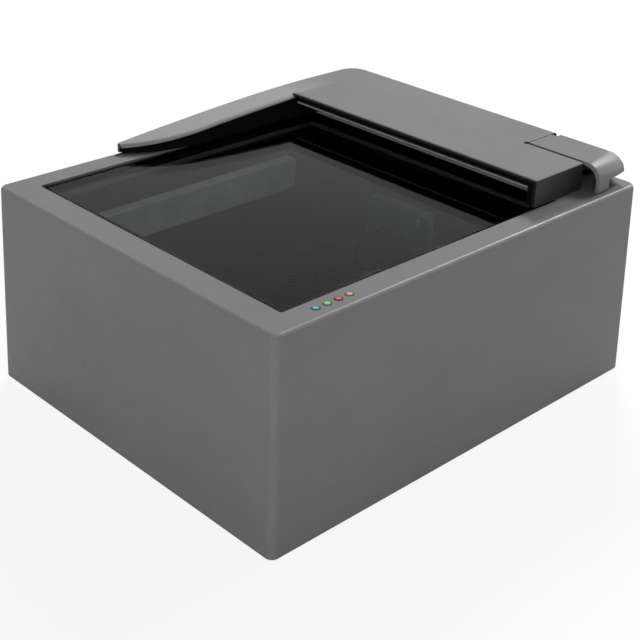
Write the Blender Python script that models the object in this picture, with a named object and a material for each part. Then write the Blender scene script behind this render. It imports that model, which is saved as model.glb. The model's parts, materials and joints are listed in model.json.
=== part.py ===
"""Passport reader: a drafted desktop housing with a document window sunk in its deck, an L-shaped
light hood along the right and back edges, a hinged flap in the hood's front corner, and the optics,
boards and sockets that the housing holds.

Metres, +Z up. The origin is the middle of the footprint on the table. +X is the user's right and
+Y points away from the user, so the status lights are on the -Y side.
"""

import math

import bmesh
import bpy
from mathutils import Matrix, Vector

# Housing
BODY_WIDTH = 0.226
BODY_DEPTH = 0.184
DECK_HEIGHT = 0.098
DRAFT_ANGLE = math.radians(2.0)
WALL = 0.0025
DECK_THICKNESS = 0.003
TOP_EDGE_RADIUS = 0.0018
FRONT_LEFT_RADIUS = 0.0035
FRONT_RIGHT_RADIUS = 0.005
BACK_RIGHT_RADIUS = 0.010
BACK_LEFT_RADIUS = 0.0035
LEAST_RADIUS = 0.0006
GAP = 0.0003
OVERRUN = 0.002
WELD = 0.0008
SKIM = 0.0001

# Document window in the deck
WINDOW_FROM_LEFT = 0.014
WINDOW_FROM_RIGHT = 0.045
WINDOW_FROM_FRONT = 0.0123
WINDOW_FROM_BACK = 0.0123
WINDOW_CORNER = 0.0012
GLASS_SINK = 0.001
GLASS_THICKNESS = 0.003
SEAL_WIDTH = 0.0015
SEAL_FLANGE = 0.0006
LEDGE_WIDTH = 0.004
LEDGE_THICKNESS = 0.002
RIM_WALL = 0.003

# Hood
HOOD_RISE = 0.013
HOOD_WALL = 0.0016
HOOD_SIDE_SETBACK = 0.003
WIDE_ARM_WIDTH = 0.0585
BACK_ARM_WIDTH = 0.0165
ARM_FRONT_SETBACK = 0.013
HOOD_EDGE_RADIUS = 0.0013
BACK_EDGE_RADIUS = 0.0022
TIP_FROM_LEFT = 0.065
TIP_RISE = 0.0046
TIP_WIDTH = 0.0035
RAMP_FROM_RIGHT = 0.020
RAMP_POWER = 1.6
SWEEP_LENGTH = 0.042
SWEEP_POWER = 2.6
HOOD_BOSS_RADIUS = 0.004
HOOD_BOSS_FROM_RIGHT = 0.018
HOOD_BOSS_FROM_BACK = 0.006
HOOD_SCREW_SHARES = (0.75, 0.25)
END_EDGE_RADIUS = 0.001
CREASE_END_FROM_RIGHT = 0.019
CREASE_END_FROM_BACK = 0.014
CREASE_WIDTH = 0.003
CREASE_FADE = 0.004

# Black liner behind the hood's inner edge, and the guide plate over the page gap
LINER_SETBACK = 0.0007
LINER_WALL = 0.0015
BACK_END_DROP = 0.0014
UNDERCUT_DEPTH = 0.0169
UNDERCUT_FRONT = 0.003
GUIDE_BELOW_TOP = 0.0048
GUIDE_THICKNESS = 0.0007
GUIDE_SETBACK = 0.0002

# Hinged corner flap
FLAP_WIDTH = 0.0224
SLIT_WIDTH = 0.002
SLIT_EYE_RADIUS = 0.0016
FLAP_FRONT_SETBACK = 0.0045
FLAP_SKIN = 0.0018
NOSE_LENGTH = 0.0078
NOSE_LENGTH_RIGHT = 0.0125
NOSE_DROP = 0.0075
NOSE_CURL = 0.002
NOSE_CURL_POWER = 3.0
LEG_WIDTH = 0.0082
NOSE_LIP_RISE = 0.0052
NOSE_LIP = 0.0025
NOSE_HEEL = 0.009
HINGE_FROM_FRONT = 0.0425
HINGE_FROM_TOP = 0.0026
KNUCKLE_RADIUS = 0.004
PIN_RADIUS = 0.0008
EAR_RADIUS = 0.0018
EAR_WIDTH = 0.002
EAR_FROM_SIDE = 0.0028
BAY_WALL = 0.002

# Small card socket under the flap
SOCKET_WIDTH = 0.0155
SOCKET_DEPTH = 0.0155
SOCKET_HEIGHT = 0.0022
SOCKET_COVER = 0.0004
SOCKET_SLOT = 0.001
SOCKET_RAIL = 0.0015
SOCKET_FROM_HINGE = 0.006
SOCKET_FROM_SLIT = 0.0042

# Status lights
LIGHT_FROM_LEFT = 0.0262
LIGHT_FROM_FRONT = 0.0068
LIGHT_PITCH = 0.0059
LIGHT_RADIUS = 0.0016
LIGHT_FLANGE_RADIUS = 0.0022
LIGHT_FLANGE = 0.0008
LIGHT_DOME = 0.0004
LIGHT_BOARD_THICKNESS = 0.0012
LIGHT_NAMES = ("blue", "green", "red", "amber")

# Base plate, feet and the posts that the base screws enter
FOOT_PROUD = 0.0012
FOOT_RADIUS = 0.007
FOOT_SINK = 0.0012
FOOT_FROM_SIDE = 0.022
BASE_THICKNESS = 0.003
BASE_GAP = 0.0004
POST_RADIUS = 0.0042
POST_FROM_SIDE = 0.0095
RIB_THICKNESS = 0.0016
VENT_LENGTH = 0.028
VENT_WIDTH = 0.0026
VENT_CORNER = 0.0012
VENT_PITCH = 0.006
VENT_COUNT = 7
VENT_FROM_FRONT = 0.045

# Screws
SCREW_RADIUS = 0.0013
SCREW_HEAD_RADIUS = 0.0027
SCREW_HEAD = 0.0016
SCREW_GRIP = 0.008
SMALL_SCREW_RADIUS = 0.0008
SMALL_HEAD_RADIUS = 0.0016
SMALL_HEAD = 0.001
SMALL_GRIP = 0.004

# Optics tub
TUB_WALL = 0.002
TUB_CORNER = 0.004
TUB_BOTTOM = 0.0245
TUB_FLANGE = 0.0025
TUB_FLANGE_FRONT = 0.0133
TUB_FLANGE_SIDE = 0.0035
TUB_SCREW_FROM_CORNER = 0.002
TUB_BOSS_RADIUS = 0.003
ANTENNA_THICKNESS = 0.0012
ANTENNA_WIDTH = 0.006
LEAD_NOTCH = 0.008
LEAD_NOTCH_FROM_FRONT = 0.052

# Mirror
MIRROR_BELOW_GLASS = 0.0117
MIRROR_FROM_SIDE = 0.0156
MIRROR_THICKNESS = 0.003
MIRROR_TILT = math.radians(45.0)
MIRROR_FROM_WALL = 0.003
BRACKET_WALL = 0.003

# Camera
CAMERA_FROM_WALL = 0.008
CAMERA_BOARD_RISE = 0.0072
CAMERA_FOOT = 0.024
CAMERA_PLATE = 0.002
CAMERA_PLATE_WIDTH = 0.044
CAMERA_PLATE_MARGIN = 0.0028
CAMERA_BOARD_SIDE = 0.036
CAMERA_SCREW_INSET = 0.003
BOARD_THICKNESS = 0.0016
LENS_BASE_RADIUS = 0.009
LENS_BASE = 0.006
LENS_NECK_RADIUS = 0.007
LENS_NECK = 0.009
LENS_FRONT_RADIUS = 0.0095
LENS_FRONT = 0.006
LENS_GLASS_RADIUS = 0.0065
LENS_GLASS_SINK = 0.0012
LENS_GLASS_THICKNESS = 0.003
LENS_BULGE = 0.0009

# Light bars
BAR_FROM_END = 0.0194
BAR_HEIGHT = 0.012
BAR_BELOW_TOP = 0.012
BAR_CHIP = 0.003
BAR_CHIP_DEPTH = 0.001
BAR_CHIPS = 10
DIFFUSER_WALL = 0.0015
DIFFUSER_DEPTH = 0.0065

# Main board and what stands on it
STANDOFF_HEIGHT = 0.006
STANDOFF_RADIUS = 0.003
BOARD_FROM_LEFT = 0.029
BOARD_FROM_RADIO = 0.015
BOARD_PAST_CONNECTOR = 0.015
BOARD_FROM_BACK = 0.007
BOARD_HOLE_INSET = 0.005
HEATSINK_SIDE = 0.028
HEATSINK_HEIGHT = 0.008
HEATSINK_BASE = 0.002
FIN_THICKNESS = 0.0012
FIN_COUNT = 7
CHIP_HEIGHT = 0.0015
CAPACITOR_RADIUS = 0.004
CAPACITOR_HEIGHT = 0.0095
CAPACITOR_PITCH = 0.011
BEEPER_RADIUS = 0.006
BEEPER_HEIGHT = 0.007
BEEPER_HOLE_RADIUS = 0.001
CHIP_SHARES = ((0.16, 0.22, 0.10, 0.15), (0.36, 0.14, 0.07, 0.10), (0.80, 0.60, 0.09, 0.13))
HEATSINK_PLACE_SHARES = (0.46, 0.52)
CAPACITOR_PLACE_SHARES = (0.09, 0.55)
BEEPER_PLACE_SHARES = (0.62, 0.14)
RAMP_SHARES = (0.2, 0.4, 0.6, 0.8)
FLAP_STATION_SHARES = (0.0, 0.35, 0.6, 0.8, 0.92, 1.0)

# Sockets in the back wall
USB_FROM_JACK = 0.012
USB_WIDTH = 0.012
USB_HEIGHT = 0.011
USB_DEPTH = 0.016
USB_WALL = 0.0012
USB_TONGUE_WIDTH = 0.0056
USB_TONGUE_HEIGHT = 0.0032
USB_TONGUE_SINK = 0.0022
JACK_FROM_LEFT = 0.051
JACK_WIDTH = 0.010
JACK_HEIGHT = 0.011
JACK_DEPTH = 0.014
JACK_BORE_RADIUS = 0.0034
JACK_BORE_DEPTH = 0.010
JACK_PIN_RADIUS = 0.001
JACK_PIN_SINK = 0.0022
SOCKET_FACE_SINK = 0.0008

# Radio board, its shield and the aerial's lead
RADIO_FROM_RIGHT = 0.010
RADIO_WIDTH = 0.034
RADIO_DEPTH = 0.070
RADIO_FROM_FRONT = 0.042
SHIELD_WIDTH = 0.022
SHIELD_DEPTH = 0.034
SHIELD_HEIGHT = 0.004
LEAD_RADIUS = 0.0009
LEAD_SLACK = 0.006
LEAD_FROM_TUB = 0.0022

# Flat cable from the camera to the main board
CABLE_WIDTH = 0.012
CABLE_THICKNESS = 0.0005
CABLE_SLOT_GAP = 0.0006
CONNECTOR_WIDTH = 0.016
CONNECTOR_HEIGHT = 0.003
CONNECTOR_DEPTH = 0.0045

# Roundness
CORNER_STEPS = 5
EDGE_STEPS = 4
ROUND_SIDES = 20
SMALL_SIDES = 12
CORNER_SIDES = 3
STATIONS = 22
STATION_POWER = 1.35
LEAD_POINTS = 24

# Places worked out from the sizes above
LEFT = -BODY_WIDTH / 2
RIGHT = BODY_WIDTH / 2
FRONT = -BODY_DEPTH / 2
BACK = BODY_DEPTH / 2
SHELL_BOTTOM = FOOT_PROUD
DECK_UNDERSIDE = DECK_HEIGHT - DECK_THICKNESS
HOOD_TOP = DECK_HEIGHT + HOOD_RISE
HOOD_BOTTOM = DECK_HEIGHT + GAP
HOOD_RIGHT = RIGHT - HOOD_SIDE_SETBACK
WINDOW_LEFT = LEFT + WINDOW_FROM_LEFT
WINDOW_RIGHT = RIGHT - WINDOW_FROM_RIGHT
WINDOW_FRONT = FRONT + WINDOW_FROM_FRONT
WINDOW_BACK = BACK - WINDOW_FROM_BACK
GLASS_TOP = DECK_HEIGHT - GLASS_SINK
GLASS_BOTTOM = GLASS_TOP - GLASS_THICKNESS
GLASS_INSET = SEAL_WIDTH + 2 * GAP
SEAL_TOP = GLASS_BOTTOM - GAP
LEDGE_TOP = SEAL_TOP - SEAL_FLANGE - GAP
RIM_BOTTOM = LEDGE_TOP - LEDGE_THICKNESS
ANTENNA_TOP = RIM_BOTTOM - GAP
TUB_TOP = ANTENNA_TOP - ANTENNA_THICKNESS - GAP
TUB_LEFT = WINDOW_LEFT + GLASS_INSET + LEDGE_WIDTH - TUB_WALL
TUB_RIGHT = WINDOW_RIGHT - GLASS_INSET - LEDGE_WIDTH + TUB_WALL
TUB_FRONT = WINDOW_FRONT + GLASS_INSET + LEDGE_WIDTH - TUB_WALL
TUB_BACK = WINDOW_BACK - GLASS_INSET - LEDGE_WIDTH + TUB_WALL
TUB_FLOOR = TUB_BOTTOM + TUB_WALL
BASE_TOP = FOOT_PROUD + BASE_THICKNESS
BOARD_BOTTOM = BASE_TOP + STANDOFF_HEIGHT + GAP
BOARD_TOP = BOARD_BOTTOM + BOARD_THICKNESS
BOARD_LEFT = LEFT + BOARD_FROM_LEFT
BOARD_BACK = BACK - BOARD_FROM_BACK
BOARD_FRONT = -(CONNECTOR_WIDTH / 2 + BOARD_PAST_CONNECTOR)
BOARD_DEPTH = BOARD_BACK - BOARD_FRONT
BOARD_WIDTH = RIGHT - RADIO_FROM_RIGHT - RADIO_WIDTH - BOARD_FROM_RADIO - BOARD_LEFT
CAMERA_HEIGHT = TUB_FLOOR + GAP + CAMERA_PLATE + CAMERA_BOARD_RISE + CAMERA_BOARD_SIDE / 2
CAMERA_PLATE_TOP = CAMERA_HEIGHT + CAMERA_BOARD_SIDE / 2 + CAMERA_PLATE_MARGIN
MIRROR_LOW = TUB_FLOOR + GAP + BRACKET_WALL + MIRROR_FROM_WALL
MIRROR_LENGTH = (GLASS_BOTTOM - MIRROR_BELOW_GLASS - MIRROR_LOW) / math.sin(MIRROR_TILT)
MIRROR_WIDTH = TUB_BACK - TUB_FRONT - 2 * MIRROR_FROM_SIDE
BAR_LENGTH = TUB_RIGHT - TUB_LEFT - 2 * BAR_FROM_END
ARM_INNER = HOOD_RIGHT - WIDE_ARM_WIDTH
ARM_FRONT = FRONT + ARM_FRONT_SETBACK
BACK_ARM_INNER = BACK - BACK_ARM_WIDTH
TIP_X = LEFT + TIP_FROM_LEFT
FLAP_LEFT = HOOD_RIGHT - FLAP_WIDTH
SLIT_LEFT = FLAP_LEFT - SLIT_WIDTH
HINGE_Y = FRONT + HINGE_FROM_FRONT
HINGE_Z = HOOD_TOP - HINGE_FROM_TOP
KNUCKLE_ROOM = KNUCKLE_RADIUS + GAP
BAY_BACK = HINGE_Y + KNUCKLE_ROOM
NOTCH_BACK = HINGE_Y + math.sqrt(KNUCKLE_ROOM**2 - HINGE_FROM_TOP**2)
EAR_RIGHT = HOOD_RIGHT - EAR_FROM_SIDE
EAR_LEFT = EAR_RIGHT - EAR_WIDTH
SCREW_HOLE_RADIUS = SCREW_RADIUS + GAP
SMALL_HOLE_RADIUS = SMALL_SCREW_RADIUS + GAP


def clear_scene():
    """Remove every object, so the script can be run again in the same file."""
    for old in list(bpy.data.objects):
        bpy.data.objects.remove(old, do_unlink=True)


def material(name, colour, roughness, metallic=0.0):
    """Return a Principled material of one colour."""
    made = bpy.data.materials.new(name)
    made.use_nodes = True
    shader = made.node_tree.nodes["Principled BSDF"]
    shader.inputs["Base Color"].default_value = (*colour, 1.0)
    shader.inputs["Roughness"].default_value = roughness
    shader.inputs["Metallic"].default_value = metallic
    made.diffuse_color = (*colour, 1.0)
    return made


def object_from(bm, name="form"):
    """Turn a bmesh into a linked object with its faces pointing out."""
    bmesh.ops.recalc_face_normals(bm, faces=bm.faces)
    mesh = bpy.data.meshes.new(name)
    bm.to_mesh(mesh)
    bm.free()
    made = bpy.data.objects.new(name, mesh)
    bpy.context.collection.objects.link(made)
    return made


def loft(loops):
    """Bridge loops of equal count with quads and close both ends."""
    bm = bmesh.new()
    rings = [[bm.verts.new(point) for point in loop] for loop in loops]
    for lower, upper in zip(rings, rings[1:]):
        count = len(lower)
        for i in range(count):
            j = (i + 1) % count
            bm.faces.new((lower[i], lower[j], upper[j], upper[i]))
    bm.faces.new(list(reversed(rings[0])))
    bm.faces.new(rings[-1])
    return object_from(bm)


def block(x, y, z):
    """Box between three pairs of limits."""
    corners = ((x[0], y[0]), (x[1], y[0]), (x[1], y[1]), (x[0], y[1]))
    return prism_z(corners, z)


def prism_z(outline, z):
    """Extrude an outline of (x, y) points between two heights."""
    return loft([[Vector((px, py, pz)) for px, py in outline] for pz in z])


def prism_x(outline, x):
    """Extrude an outline of (y, z) points between two places on X."""
    return loft([[Vector((px, py, pz)) for py, pz in outline] for px in x])


def prism_y(outline, y):
    """Extrude an outline of (x, z) points between two places on Y."""
    return loft([[Vector((px, py, pz)) for px, pz in outline] for py in y])


def circle(radius, sides):
    """Points of a circle round the origin."""
    turns = [2 * math.pi * i / sides for i in range(sides)]
    return [(radius * math.cos(t), radius * math.sin(t)) for t in turns]


def rod(centre, radius, along, axis="Z", sides=ROUND_SIDES):
    """Cylinder round centre (two coordinates) between two places on its axis."""
    outline = [(centre[0] + a, centre[1] + b) for a, b in circle(radius, sides)]
    extrude = {"X": prism_x, "Y": prism_y, "Z": prism_z}[axis]
    return extrude(outline, along)


def turned(profile, centre, axis="Z", sides=ROUND_SIDES):
    """Stack circles of a profile of (radius, place on the axis) round centre."""
    place = {
        "X": lambda a, b, t: Vector((t, centre[0] + a, centre[1] + b)),
        "Z": lambda a, b, t: Vector((centre[0] + a, centre[1] + b, t)),
    }[axis]
    return loft([[place(a, b, t) for a, b in circle(radius, sides)] for radius, t in profile])


def rounded_rectangle(x, y, radii, steps=CORNER_STEPS):
    """Outline of a rectangle whose corners, from front left round to back left, have given radii."""
    corners = (
        (x[0], y[0], 1, 1, math.pi),
        (x[1], y[0], -1, 1, 1.5 * math.pi),
        (x[1], y[1], -1, -1, 0.0),
        (x[0], y[1], 1, -1, 0.5 * math.pi),
    )
    outline = []
    for (cx, cy, sx, sy, start), radius in zip(corners, radii):
        for i in range(steps + 1):
            turn = start + 0.5 * math.pi * i / steps
            px = cx + sx * radius + radius * math.cos(turn)
            py = cy + sy * radius + radius * math.sin(turn)
            outline.append((px, py))
    return outline


def combine(target, tool, operation):
    """Apply one exact Boolean to target and remove the tool."""
    modifier = target.modifiers.new("shape", "BOOLEAN")
    modifier.operation = operation
    modifier.solver = "EXACT"
    modifier.object = tool
    graph = bpy.context.evaluated_depsgraph_get()
    mesh = bpy.data.meshes.new_from_object(target.evaluated_get(graph))
    target.modifiers.clear()
    target.data = mesh
    bpy.data.objects.remove(tool, do_unlink=True)


def cut(target, *tools):
    """Take each tool out of target."""
    for tool in tools:
        combine(target, tool, "DIFFERENCE")


def join(target, *tools):
    """Add each tool to target."""
    for tool in tools:
        combine(target, tool, "UNION")


def keep(target, tool):
    """Keep what target and tool share."""
    combine(target, tool, "INTERSECT")


def finish(piece, name, look):
    """Name a sub-part, give it its material and shade its round faces smooth."""
    piece.name = name
    piece.data.name = name
    piece.data.materials.clear()
    piece.data.materials.append(look)
    piece.data.shade_smooth()
    piece.data.set_sharp_from_angle(angle=math.radians(30.0))
    return piece


def body_outline(z, inset=0.0, right=RIGHT):
    """Plan of the housing at a height, drawn in by an inset. The draft widens it downwards."""
    spread = (DECK_HEIGHT - z) * math.tan(DRAFT_ANGLE) - inset
    radii = (FRONT_LEFT_RADIUS, FRONT_RIGHT_RADIUS, BACK_RIGHT_RADIUS, BACK_LEFT_RADIUS)
    rounds = [max(radius - inset, LEAST_RADIUS) for radius in radii]
    return rounded_rectangle((LEFT - spread, right + spread), (FRONT - spread, BACK + spread), rounds)


def body_loop(z, inset=0.0, right=RIGHT):
    """The housing's plan as points at a height."""
    return [Vector((px, py, z)) for px, py in body_outline(z, inset, right)]


def rounded_top(bottom, top, radius, right=RIGHT):
    """Loops of the housing's plan from bottom to top, with the top edge rounded."""
    loops = [body_loop(bottom, right=right)]
    for i in range(EDGE_STEPS + 1):
        turn = 0.5 * math.pi * i / EDGE_STEPS
        z = top - radius + radius * math.sin(turn)
        loops.append(body_loop(z, radius * (1 - math.cos(turn)), right))
    return loops


def wall_reach(z):
    """How far the housing's outer wall stands from the deck's edge at a height."""
    return (DECK_HEIGHT - z) * math.tan(DRAFT_ANGLE)


def window_block(inset, z):
    """Rounded block over the window's area, drawn in by an inset."""
    x = (WINDOW_LEFT + inset, WINDOW_RIGHT - inset)
    y = (WINDOW_FRONT + inset, WINDOW_BACK - inset)
    return prism_z(rounded_rectangle(x, y, [WINDOW_CORNER] * 4), z)


def corners(x, y):
    """The four corners of a rectangle by name."""
    return {
        "front_left": (x[0], y[0]),
        "front_right": (x[1], y[0]),
        "back_right": (x[1], y[1]),
        "back_left": (x[0], y[1]),
    }


def post_places():
    """The four posts that the base screws enter."""
    return corners(widened((LEFT, RIGHT), -POST_FROM_SIDE), widened((FRONT, BACK), -POST_FROM_SIDE))


def tub_screw_places():
    """The four screws that hold the tub's flange under the deck."""
    reach = RIM_WALL + TUB_BOSS_RADIUS
    x = widened((TUB_LEFT, TUB_RIGHT), -TUB_SCREW_FROM_CORNER)
    return corners(x, widened((WINDOW_FRONT, WINDOW_BACK), reach))


def hood_screw_places():
    """Two screws under the wide arm and two under the back arm."""
    right = HOOD_RIGHT - HOOD_BOSS_FROM_RIGHT
    back = BACK - HOOD_BOSS_FROM_BACK
    middle, tip = (TIP_X + share * (ARM_INNER - TIP_X) for share in HOOD_SCREW_SHARES)
    return {
        "front": (right, BAY_BACK + BAY_WALL + 2 * HOOD_BOSS_RADIUS),
        "corner": (right, back),
        "middle": (middle, back),
        "tip": (tip, back),
    }


def light_places():
    """The four status lights in their row."""
    start = LEFT + LIGHT_FROM_LEFT
    return [(start + i * LIGHT_PITCH, FRONT + LIGHT_FROM_FRONT) for i in range(len(LIGHT_NAMES))]


def usb_limits():
    """Limits of the data socket's metal body."""
    x = LEFT + JACK_FROM_LEFT + JACK_WIDTH + USB_FROM_JACK
    front = BACK + wall_reach(BOARD_TOP + USB_HEIGHT) - SOCKET_FACE_SINK
    return (x, x + USB_WIDTH), (front - USB_DEPTH, front), (BOARD_TOP + GAP, BOARD_TOP + GAP + USB_HEIGHT)


def jack_limits():
    """Limits of the power socket's body."""
    x = LEFT + JACK_FROM_LEFT
    front = BACK + wall_reach(BOARD_TOP + JACK_HEIGHT) - SOCKET_FACE_SINK
    low = BOARD_TOP + GAP
    return (x, x + JACK_WIDTH), (front - JACK_DEPTH, front), (low, low + JACK_HEIGHT)


def widened(limits, amount):
    """A pair of limits moved apart."""
    return limits[0] - amount, limits[1] + amount


def make_body_shell(look):
    """Drafted five-sided box with the window's rim, screw posts and socket openings."""
    shell = loft(rounded_top(SHELL_BOTTOM, DECK_HEIGHT, TOP_EDGE_RADIUS))
    cavity = loft([body_loop(SHELL_BOTTOM - OVERRUN, WALL), body_loop(DECK_UNDERSIDE, WALL)])
    cut(shell, cavity)
    join(shell, window_block(-RIM_WALL, (RIM_BOTTOM, DECK_UNDERSIDE + WELD)))
    for px, py in post_places().values():
        foot = BASE_TOP + GAP
        reach = wall_reach(foot) + POST_FROM_SIDE - WALL + WELD
        sx = math.copysign(1, px)
        sy = math.copysign(1, py)
        top = DECK_UNDERSIDE + WELD
        post = rod((px, py), POST_RADIUS, (foot, top), sides=SMALL_SIDES)
        tall = (foot + WELD, top)
        half = RIB_THICKNESS / 2
        rib_x = block(sorted((px, px + sx * reach)), widened((py, py), half), tall)
        rib_y = block(widened((px, px), half), sorted((py, py + sy * reach)), tall)
        web = loft([body_loop(foot, WALL - WELD), body_loop(top, WALL - WELD)])
        join(rib_x, rib_y)
        keep(rib_x, web)
        join(post, rib_x)
        join(shell, post)
    for place in tub_screw_places().values():
        boss = (TUB_TOP + GAP, DECK_UNDERSIDE + WELD)
        join(shell, rod(place, TUB_BOSS_RADIUS, boss, sides=SMALL_SIDES))
    cut(shell, window_block(0.0, (LEDGE_TOP, DECK_HEIGHT + OVERRUN)))
    cut(shell, window_block(GLASS_INSET + LEDGE_WIDTH, (RIM_BOTTOM - OVERRUN, LEDGE_TOP + OVERRUN)))
    for place in post_places().values():
        depth = BASE_TOP + GAP + SCREW_GRIP + OVERRUN
        cut(shell, rod(place, SCREW_HOLE_RADIUS, (BASE_TOP - OVERRUN, depth), sides=SMALL_SIDES))
    for place in tub_screw_places().values():
        top = TUB_TOP + GAP + SMALL_GRIP
        cut(shell, rod(place, SMALL_HOLE_RADIUS, (TUB_TOP - OVERRUN, top), sides=SMALL_SIDES))
    for place in hood_screw_places().values():
        ends = (DECK_UNDERSIDE - OVERRUN, DECK_HEIGHT + OVERRUN)
        cut(shell, rod(place, SCREW_HOLE_RADIUS, ends, sides=SMALL_SIDES))
    for place in light_places():
        ends = (DECK_UNDERSIDE - OVERRUN, DECK_HEIGHT + OVERRUN)
        cut(shell, rod(place, LIGHT_RADIUS + GAP, ends))
    for x, y, z in (usb_limits(), jack_limits()):
        through = (y[0], y[1] + OVERRUN + DECK_THICKNESS)
        cut(shell, block(widened(x, GAP), through, widened(z, GAP)))
    return finish(shell, "body_shell", look)


def foot_places():
    """The four rubber feet."""
    return corners(widened((LEFT, RIGHT), -FOOT_FROM_SIDE), widened((FRONT, BACK), -FOOT_FROM_SIDE))


def board_hole_places():
    """The main board's four screws."""
    x = widened((BOARD_LEFT, BOARD_LEFT + BOARD_WIDTH), -BOARD_HOLE_INSET)
    return corners(x, widened((BOARD_FRONT, BOARD_BACK), -BOARD_HOLE_INSET))


def radio_limits():
    """Limits of the radio board."""
    right = RIGHT - RADIO_FROM_RIGHT
    front = FRONT + RADIO_FROM_FRONT
    return (right - RADIO_WIDTH, right), (front, front + RADIO_DEPTH)


def radio_hole_places():
    """The radio board's two screws, at opposite corners."""
    x, y = radio_limits()
    found = corners(widened(x, -BOARD_HOLE_INSET), widened(y, -BOARD_HOLE_INSET))
    return {"front": found["front_left"], "back": found["back_right"]}


def make_base_plate(look):
    """Moulded bottom cover with foot pockets, screw seats, board standoffs and vents."""
    inset = WALL + BASE_GAP
    plate = loft([body_loop(FOOT_PROUD, inset), body_loop(BASE_TOP, inset)])
    for place in (*board_hole_places().values(), *radio_hole_places().values()):
        tall = (BASE_TOP - WELD, BASE_TOP + STANDOFF_HEIGHT)
        standoff = rod(place, STANDOFF_RADIUS, tall, sides=SMALL_SIDES)
        join(plate, standoff)
        hole = (BASE_TOP, BASE_TOP + STANDOFF_HEIGHT + OVERRUN)
        cut(plate, rod(place, SMALL_HOLE_RADIUS, hole, sides=SMALL_SIDES))
    for place in foot_places().values():
        cut(plate, rod(place, FOOT_RADIUS + GAP, (FOOT_PROUD - OVERRUN, FOOT_PROUD + FOOT_SINK)))
    for place in post_places().values():
        seat = (FOOT_PROUD - OVERRUN, FOOT_PROUD + SCREW_HEAD)
        cut(plate, rod(place, SCREW_HEAD_RADIUS + GAP, seat, sides=SMALL_SIDES))
        cut(plate, rod(place, SCREW_HOLE_RADIUS, (FOOT_PROUD, BASE_TOP + OVERRUN), sides=SMALL_SIDES))
    for side in (-1, 1):
        for i in range(VENT_COUNT):
            y = FRONT + VENT_FROM_FRONT + i * VENT_PITCH
            x = side * VENT_LENGTH
            length = widened((x, x), VENT_LENGTH / 2)
            slot = rounded_rectangle(length, (y, y + VENT_WIDTH), [VENT_CORNER] * 4, CORNER_SIDES)
            cut(plate, prism_z(slot, (FOOT_PROUD - OVERRUN, BASE_TOP + OVERRUN)))
    return finish(plate, "base_plate", look)


def make_feet(look):
    """Four rubber discs in the base plate's pockets, with a softened lower edge."""
    soften = FOOT_PROUD / 2
    top = FOOT_PROUD + FOOT_SINK - GAP
    profile = ((FOOT_RADIUS - soften, 0.0), (FOOT_RADIUS, soften), (FOOT_RADIUS, top))
    for name, place in foot_places().items():
        finish(turned(profile, place), "foot_" + name, look)


def screw(place, seat, grip, radius, head_radius, head, up=True):
    """Round-headed screw: the head's seat is at a height and the shank runs up or down from it."""
    way = 1 if up else -1
    soften = head / 3
    profile = (
        (head_radius - soften, seat - way * head),
        (head_radius, seat - way * (head - soften)),
        (head_radius, seat),
        (radius, seat),
        (radius, seat + way * grip),
    )
    ordered = profile if up else tuple(reversed(profile))
    return turned(ordered, place, sides=SMALL_SIDES)


def make_base_screws(look):
    """Four screws through the base plate into the housing's posts."""
    seat = FOOT_PROUD + SCREW_HEAD - GAP
    grip = SCREW_GRIP + BASE_THICKNESS - SCREW_HEAD
    head = SCREW_HEAD - 2 * GAP
    for name, place in post_places().items():
        made = screw(place, seat, grip, SCREW_RADIUS, SCREW_HEAD_RADIUS, head)
        finish(made, "base_screw_" + name, look)


def make_glass(look):
    """Document window, a plain plate with rounded corners."""
    return finish(window_block(GLASS_INSET, (GLASS_BOTTOM, GLASS_TOP)), "document_glass", look)


def make_window_seal(look):
    """Black L-section gasket round and under the glass's edge."""
    outer = window_block(GAP, (SEAL_TOP - SEAL_FLANGE, GLASS_TOP))
    cut(outer, window_block(GLASS_INSET - GAP, (SEAL_TOP, GLASS_TOP + OVERRUN)))
    cut(outer, window_block(GLASS_INSET + LEDGE_WIDTH, (SEAL_TOP - OVERRUN, GLASS_TOP + OVERRUN)))
    return finish(outer, "window_seal", look)


def ramp_height(x, skin=0.0):
    """Top of the back arm: it falls from the wide arm to the tip by a power of the way along."""
    start = HOOD_RIGHT - RAMP_FROM_RIGHT
    way = min(max((start - x) / (start - TIP_X), 0.0), 1.0)
    return HOOD_TOP - (HOOD_RISE - TIP_RISE) * way**RAMP_POWER - skin


def sweep_edge(x):
    """Inner edge of the back arm: straight, then sweeping out to the tip."""
    way = min(max((TIP_X + SWEEP_LENGTH - x) / SWEEP_LENGTH, 0.0), 1.0)
    return BACK_ARM_INNER + (BACK_ARM_WIDTH - TIP_WIDTH) * way**SWEEP_POWER


def stations(start, stop):
    """Places along the back arm, closer together towards the tip."""
    return [start + (stop - start) * (i / STATIONS) ** STATION_POWER for i in range(STATIONS + 1)]


def back_arm_loop(x, setback, skin, outer, radius, bottom):
    """Section of the back arm at x, with its two top edges rounded."""
    inner = sweep_edge(x) + setback
    top = ramp_height(x, skin)
    round_outer = quarter((outer, top - radius), (outer - radius, top))[::-1]
    round_inner = quarter((inner, top - radius), (inner + radius, top))
    points = [(inner, bottom), *round_inner, *round_outer, (outer, bottom)]
    return [Vector((x, py, pz)) for py, pz in points]


def crease_y(x):
    """Line across the wide arm's top behind which the back arm's ramp begins."""
    rise = BACK_ARM_WIDTH - CREASE_END_FROM_BACK
    run = WIDE_ARM_WIDTH - CREASE_END_FROM_RIGHT
    return BACK_ARM_INNER + rise * (x - ARM_INNER) / run


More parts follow.
